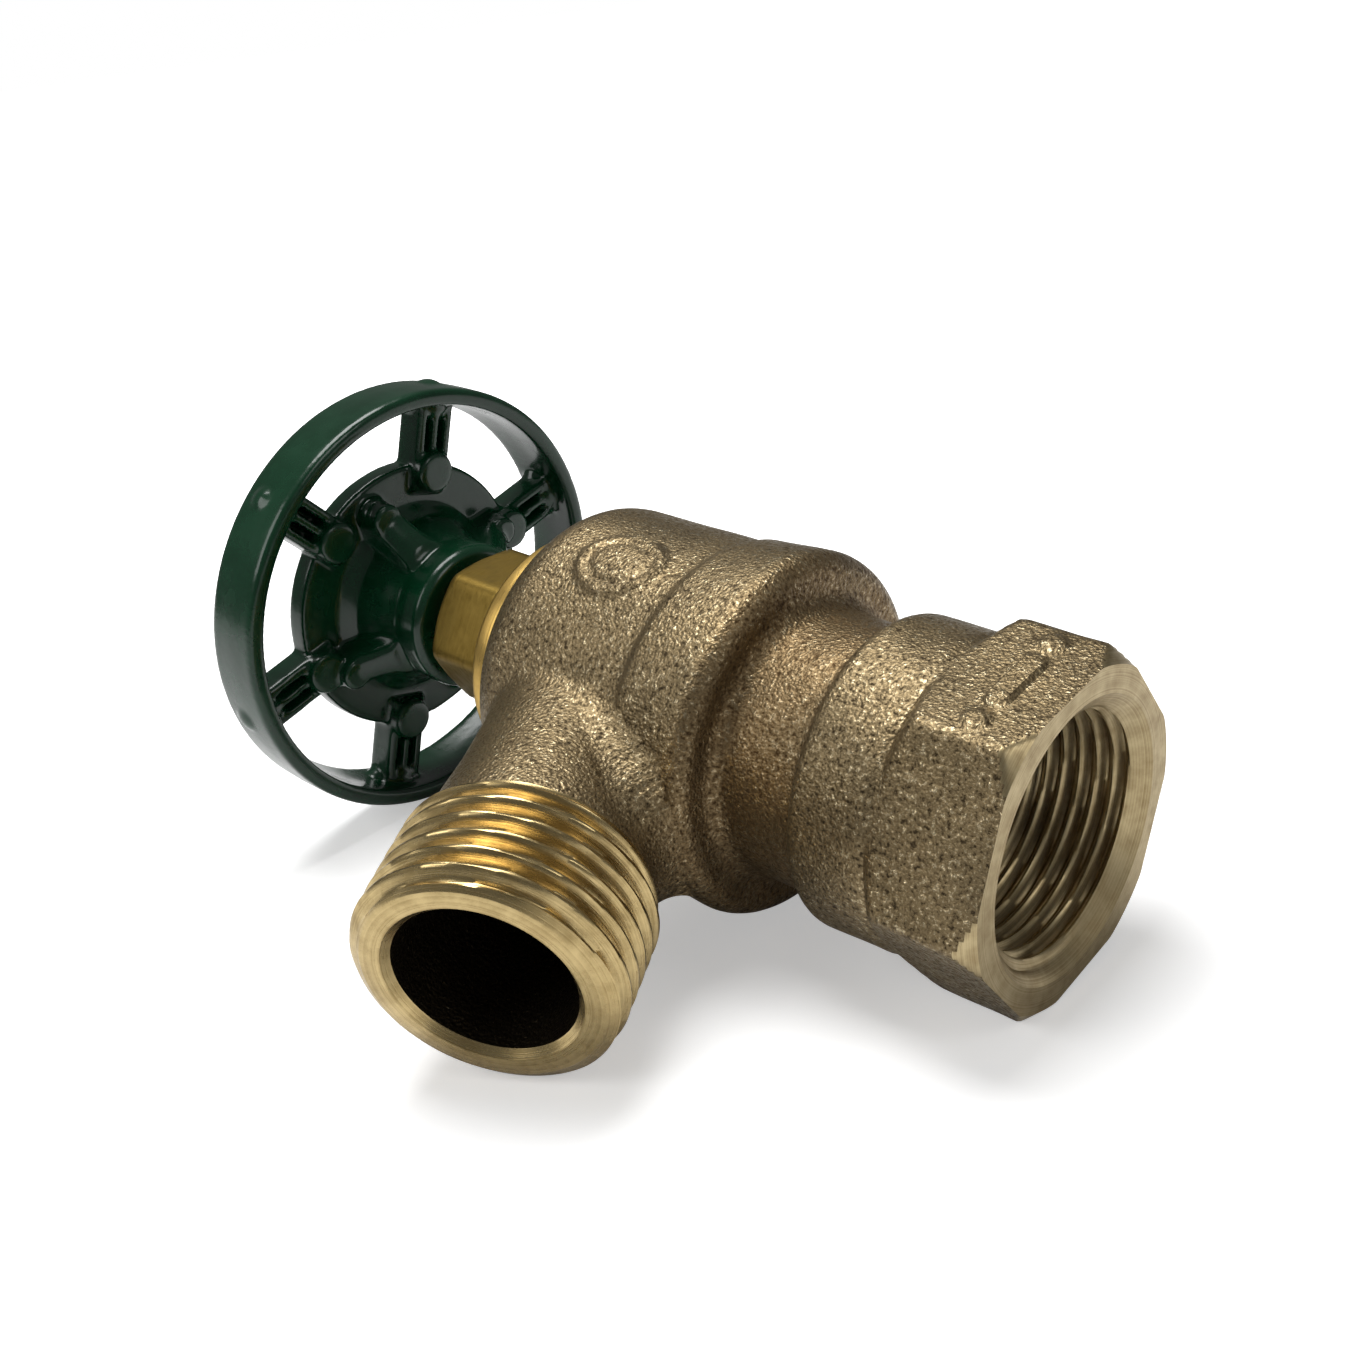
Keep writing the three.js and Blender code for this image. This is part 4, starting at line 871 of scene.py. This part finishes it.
wheel = {
    "radius": 26.6, "rimFoot": 90.6, "rimTop": wheelBox[1][2] / mm, "rimFootWall": 2.1, "rimTopWall": 2.8,
    "spokes": 6, "spokeTurn": 27.0, "spokeWidth": 5.2, "spokeDepth": 4.0, "wall": 1.15, "roof": 1.3,
    "disc": 16.8, "discFoot": 94.3, "discTop": 97.3, "boss": 2.6, "bossCircle": 15.9, "bossDrop": 2.1,
    "hubFoot": wheelBox[0][2] / mm,
    "hubHeights": [83.0, 83.25, 83.6, 84.0, 86.6, 87.2, 90.0, 92.8, 94.3, 95.2, 96.6, 97.6, 98.0],
    "hubRadii": [8.1, 8.45, 8.75, 8.9, 8.9, 8.75, 9.3, 10.4, 12.0, 12.0, 7.6, 7.2, 6.8],
    "webs": 4, "webTurn": -10.0, "webHalf": 2.2, "webReach": 13.4, "webFoot": 86.4, "webBlend": 3.2,
    "nub": 1.9, "nubFoot": 90.6, "nubTop": 95, "bump": 2.6, "grain": 0.30, "smoothing": 5,
}


def hubMesh():
    # radius over angle and height: a turned hub joined with four webs that reach out as they rise
    heights = np.concatenate([
        wheel["hubFoot"] + np.array([0, 0.25, 0.6, 1.0]), np.linspace(84.4, 95.0, 44),
        np.array([95.6, 96.4, 97.2, 97.7, 98.0])])
    columns = 144
    angles = (np.arange(columns) * fullTurn / columns)[None]
    webHalf, webReach = wheel["webHalf"], wheel["webReach"]
    cone = np.interp(heights, wheel["hubHeights"], wheel["hubRadii"])[:, None]
    reach = np.interp(heights, [wheel["webFoot"], 87.2, 92.6, 95.0, 95.6],
                      [3.0, 7.6, webReach, webReach, 4.0])[:, None]
    spacing = fullTurn / wheel["webs"]
    middle = math.radians(wheel["webTurn"])
    away = np.abs((angles - middle + spacing / 2) % spacing - spacing / 2)
    tip = away < np.arctan2(webHalf, reach)
    inside = np.maximum(webHalf ** 2 - (reach * np.sin(away)) ** 2, 0)
    web = np.where(tip, reach * np.cos(away) + np.sqrt(inside), webHalf / np.maximum(np.sin(away), 0.05))
    web = np.where(heights[:, None] < wheel["webFoot"], 0, web)
    radii = softMax(np.broadcast_to(cone, web.shape), web, wheel["webBlend"])
    return gridMesh("hub", turnedGrid(radii, heights, columns))


def spokeMesh():
    # a channel open below, with a rib down its middle, from the disc out to the rim
    low, high = wheel["disc"] - 3.5, wheel["radius"] - 1.2
    foot, top = wheel["discTop"] - wheel["spokeDepth"], wheel["discTop"]
    half = wheel["spokeWidth"] / 2
    slab = softBlock("spoke", [low, -half, foot], [high, half, top], 0.5)
    grooves = []
    near, far = 0.45, half - wheel["wall"]
    start, end = wheel["disc"] + 0.5, wheel["radius"] - wheel["rimFootWall"] - 0.5
    for side in (-1, 1):
        sides = sorted((side * near, side * far))
        grooves.append(softBlock(
            "groove", [start, sides[0], foot - 2], [end, sides[1], top - wheel["roof"]], 0.25))
    return boolean(slab, grooves, "DIFFERENCE")


def wheelPieces():
    foot, top, radius = wheel["rimFoot"], wheel["rimTop"], wheel["radius"]
    pieces = [
        turnedMesh("rim", [
            [radius - wheel["rimFootWall"], foot], [radius, foot], [radius, foot + 4], [radius - 0.2, top],
            [radius - wheel["rimTopWall"], top], [radius - wheel["rimFootWall"] - 0.1, foot + 4]],
            192, 0.8, True),
        turnedMesh("disc", [
            [0, wheel["discFoot"]], [wheel["disc"], wheel["discFoot"]], [wheel["disc"], wheel["discTop"]],
            [0, wheel["discTop"]]], 144, 0.5),
        hubMesh(),
    ]
    spoke = spokeMesh()
    boss = turnedMesh("boss", [
        [0, wheel["discFoot"] - wheel["bossDrop"]], [wheel["boss"], wheel["discFoot"] - wheel["bossDrop"]],
        [wheel["boss"], wheel["discTop"] - 0.4], [0, wheel["discTop"] - 0.4]], 40, 0.7)
    boss.transform(Matrix.Translation((wheel["bossCircle"] * mm, 0, 0)))
    polar = np.radians(np.linspace(-80, 80, 15))
    bump = gridMesh("bump", turnedGrid(wheel["bump"] * np.cos(polar), wheel["bump"] * np.sin(polar), 32))
    bumpOut, bumpUp = radius - wheel["bump"] + 0.45, wheel["discTop"] - 2.0
    bump.transform(Matrix.Translation((bumpOut * mm, 0, bumpUp * mm)))
    flare = softBlock("flare", [radius - 3.6, -3.6, wheel["discTop"] - 3.0],
                      [radius - 1.0, 3.6, wheel["discTop"]], 1.2)
    for i in range(wheel["spokes"]):
        angle = turnZ(wheel["spokeTurn"] + i * 360 / wheel["spokes"])
        for shape in (spoke, boss, bump, flare):
            copy = shape.copy()
            copy.transform(angle)
            pieces.append(copy)
    nub = turnedMesh("nub", [
        [0, wheel["nubFoot"]], [wheel["nub"], wheel["nubFoot"]], [wheel["nub"], wheel["nubTop"]],
        [0, wheel["nubTop"]]], 32, 0.5)
    nub.transform(Matrix.Translation(((wheel["webReach"] + 0.1) * mm, 0, 0)))
    for i in range(wheel["webs"]):
        copy = nub.copy()
        copy.transform(turnZ(wheel["webTurn"] + i * 360 / wheel["webs"]))
        pieces.append(copy)
    return pieces


def paintedCasting(pieces):
    # joins the pieces into one skin of small squares and smooths it, as thick paint does
    points, triangles, count = [], [], 0
    for mesh in pieces:
        mesh.calc_loop_triangles()
        own = np.zeros(len(mesh.vertices) * 3, np.float32)
        mesh.vertices.foreach_get("co", own)
        faces = np.zeros(len(mesh.loop_triangles) * 3, np.int32)
        mesh.loop_triangles.foreach_get("vertices", faces)
        points.append(own.reshape(-1, 3) / mm)
        triangles.append(faces.reshape(-1, 3) + count)
        count += len(mesh.vertices)
    joined = makeMesh("wheelJoined", np.concatenate(points), np.zeros((0, 4), int), np.concatenate(triangles))
    holder = bpy.data.objects.new("work", joined)
    bpy.context.scene.collection.objects.link(holder)
    remesh = holder.modifiers.new("skin", "REMESH")
    remesh.mode = "VOXEL"
    remesh.voxel_size = wheel["grain"] * mm
    soften = holder.modifiers.new("soften", "SMOOTH")
    soften.factor = 0.5
    soften.iterations = wheel["smoothing"]
    bpy.context.view_layer.update()
    skin = bpy.data.meshes.new_from_object(holder.evaluated_get(bpy.context.evaluated_depsgraph_get()))
    bpy.data.objects.remove(holder)
    return skin


wheelSkin = paintedCasting(wheelPieces())
stemHole = turnedMesh("stemHole", [[0, 80], [3.9, 80], [3.9, 88.3], [0, 88.3]], 64, 0.1)
squareHole = softBlock("squareHole", [-2.9, -2.9, 87.0], [2.9, 2.9, 100.0], 0.2)
wheelSkin = boolean(wheelSkin, [stemHole, squareHole], "DIFFERENCE")
addPiece("handwheel_painted", wheelSkin, "stem", ["handwheel"], [enamel], 60)
print("handwheel", len(wheelSkin.polygons))


def circlePoints(centre, axis, radius, count=720):
    axis = Vector(axis).normalized()
    side = axis.orthogonal().normalized()
    other = axis.cross(side)
    angles = np.linspace(0, fullTurn, count, endpoint=False)[:, None]
    return np.array(centre) + radius * (np.cos(angles) * np.array(side) + np.sin(angles) * np.array(other))


def restingPlane():
    # the plane that touches the wheel rim, the outlet's last thread and a corner of the hexagon:
    # the touching points and the plane through them are worked out in turn until they settle
    outletEnd = np.array([0, 0, branch["height"]]) + np.array(outletAxes[2]) * (branch["face"] - 1.3)
    corner = body["hexAcrossFlats"] / 2 / math.cos(math.pi / 6) - 0.2
    hexAngles = np.radians(body["hexTurn"] + 30 + 60 * np.arange(6))
    loops = [
        circlePoints((0, 0, wheel["rimFoot"] + 1.0), (0, 0, 1), wheel["radius"]),
        circlePoints(outletEnd, outletAxes[2], branch["threadMajor"]),
        np.column_stack([corner * np.cos(hexAngles), corner * np.sin(hexAngles), np.full(6, 2.2)]),
    ]
    normal = np.array([-0.94, -0.3, -0.1])
    for _ in range(30):
        touch = [loop[np.argmax(loop @ normal)] for loop in loops]
        plane = np.cross(touch[1] - touch[0], touch[2] - touch[0])
        plane /= np.linalg.norm(plane)
        if plane @ normal < 0:
            plane = -plane
        normal = plane
    return Vector(-normal), Vector(np.mean(touch, 0) * mm)


floorUp, floorPoint = restingPlane()
print("floor", tuple(round(c, 3) for c in floorUp))

studio = {
    "eye": (109.027, -98.577, -64.138),
    "right": (-0.165525, 0.618738, -0.767961), "down": (-0.813109, -0.52628, -0.248762),
    "forward": (-0.558081, 0.58326, 0.590214), "lens": 44.37, "shift": (-0.051, -0.051),
    "floorSize": 6.0, "floorWhite": 0.85, "floorGlow": 0.42, "floorFade": (0.07, 0.20), "floorBounce": 0.02,
    "sky": 0.15,
}


def addFloor():
    side = floorUp.orthogonal().normalized()
    other = floorUp.cross(side)
    half = studio["floorSize"] / 2
    corners = [floorPoint + side * a * half + other * b * half
               for a, b in ((-1, -1), (1, -1), (1, 1), (-1, 1))]
    mesh = bpy.data.meshes.new("floor")
    mesh.from_pydata([tuple(c) for c in corners], [], [(0, 1, 2, 3)])
    floor = bpy.data.objects.new("floor", mesh)
    bpy.context.scene.collection.objects.link(floor)
    material, tree, shader = newFinish("paleFloor")
    tree.nodes.remove(shader)
    white = (studio["floorWhite"],) * 3 + (1,)
    plain = addNode(tree, "ShaderNodeBsdfDiffuse", [("Color", white)])
    place = addNode(tree, "ShaderNodeVectorMath", [(0, objectVector(tree)), (1, floorPoint)],
                    operation="DISTANCE")
    near, far = studio["floorFade"]
    fade = addNode(tree, "ShaderNodeMapRange", [
        ("Value", place.outputs["Value"]), ("From Min", near), ("From Max", far),
        ("To Min", studio["floorGlow"]), ("To Max", 1.2)])
    toEye = addNode(tree, "ShaderNodeLightPath").outputs["Is Camera Ray"]
    strength = addNode(tree, "ShaderNodeMix", [
        (0, toEye), (2, studio["floorBounce"]), (3, fade.outputs["Result"])], data_type="FLOAT")
    glow = addNode(tree, "ShaderNodeEmission", [("Color", (1, 1, 1, 1)), ("Strength", strength.outputs[0])])
    both = addNode(tree, "ShaderNodeAddShader", [(0, plain.outputs[0]), (1, glow.outputs[0])])
    clear = addNode(tree, "ShaderNodeBsdfTransparent")
    behind = addNode(tree, "ShaderNodeNewGeometry").outputs["Backfacing"]
    mix = addNode(tree, "ShaderNodeMixShader", [("Fac", behind), (1, both.outputs[0]), (2, clear.outputs[0])])
    tree.links.new(mix.outputs[0], tree.nodes["Material Output"].inputs["Surface"])
    mesh.materials.append(material)


def addLight(name, direction, distance, size, power):
    # a square soft light that looks at the middle of the valve
    aim = Vector((0, -0.008, 0.05))
    place = aim + Vector(direction).normalized() * distance
    data = bpy.data.lights.new(name, "AREA")
    data.shape = "SQUARE"
    data.size = size
    data.energy = power
    light = bpy.data.objects.new(name, data)
    light.location = place
    light.rotation_euler = (aim - place).to_track_quat("-Z", "Y").to_euler()
    bpy.context.scene.collection.objects.link(light)


addFloor()
towardsEye = Vector(studio["eye"]).normalized()
screenRight = Vector(studio["right"])
addLight("overhead", floorUp * 1.0 - screenRight * 0.1 - towardsEye * 0.2,
         distance=0.55, size=0.36, power=3.5)
addLight("leftFill", floorUp * 0.45 - screenRight * 1.0 + towardsEye * 0.5,
         distance=0.60, size=0.30, power=0.95)
addLight("rightFill", floorUp * 0.5 + screenRight * 1.0 + towardsEye * 0.7,
         distance=0.60, size=0.22, power=0.40)
world = bpy.data.worlds.new("studio")
bpy.context.scene.world = world
world.use_nodes = True
sky = world.node_tree
seen = addNode(sky, "ShaderNodeLightPath").outputs["Is Camera Ray"]
brightness = addNode(sky, "ShaderNodeMix", [(0, seen), (2, studio["sky"]), (3, 1.0)], data_type="FLOAT")
sky.links.new(brightness.outputs[0], sky.nodes["Background"].inputs["Strength"])
sky.nodes["Background"].inputs["Color"].default_value = (1, 1, 1, 1)

camera = bpy.data.objects.new("camera", bpy.data.cameras.new("camera"))
bpy.context.scene.collection.objects.link(camera)
right, up, back = Vector(studio["right"]), -Vector(studio["down"]), -Vector(studio["forward"])
turnMatrix = Matrix((right, up, back)).transposed().to_4x4()
camera.matrix_world = Matrix.Translation(Vector(studio["eye"]) * mm) @ turnMatrix
camera.data.sensor_width = 36.0
camera.data.lens = studio["lens"]
camera.data.shift_x, camera.data.shift_y = studio["shift"]
camera.data.clip_start = 0.005
bpy.context.scene.camera = camera
bpy.context.scene.view_settings.view_transform = "Standard"
print("stage ready")
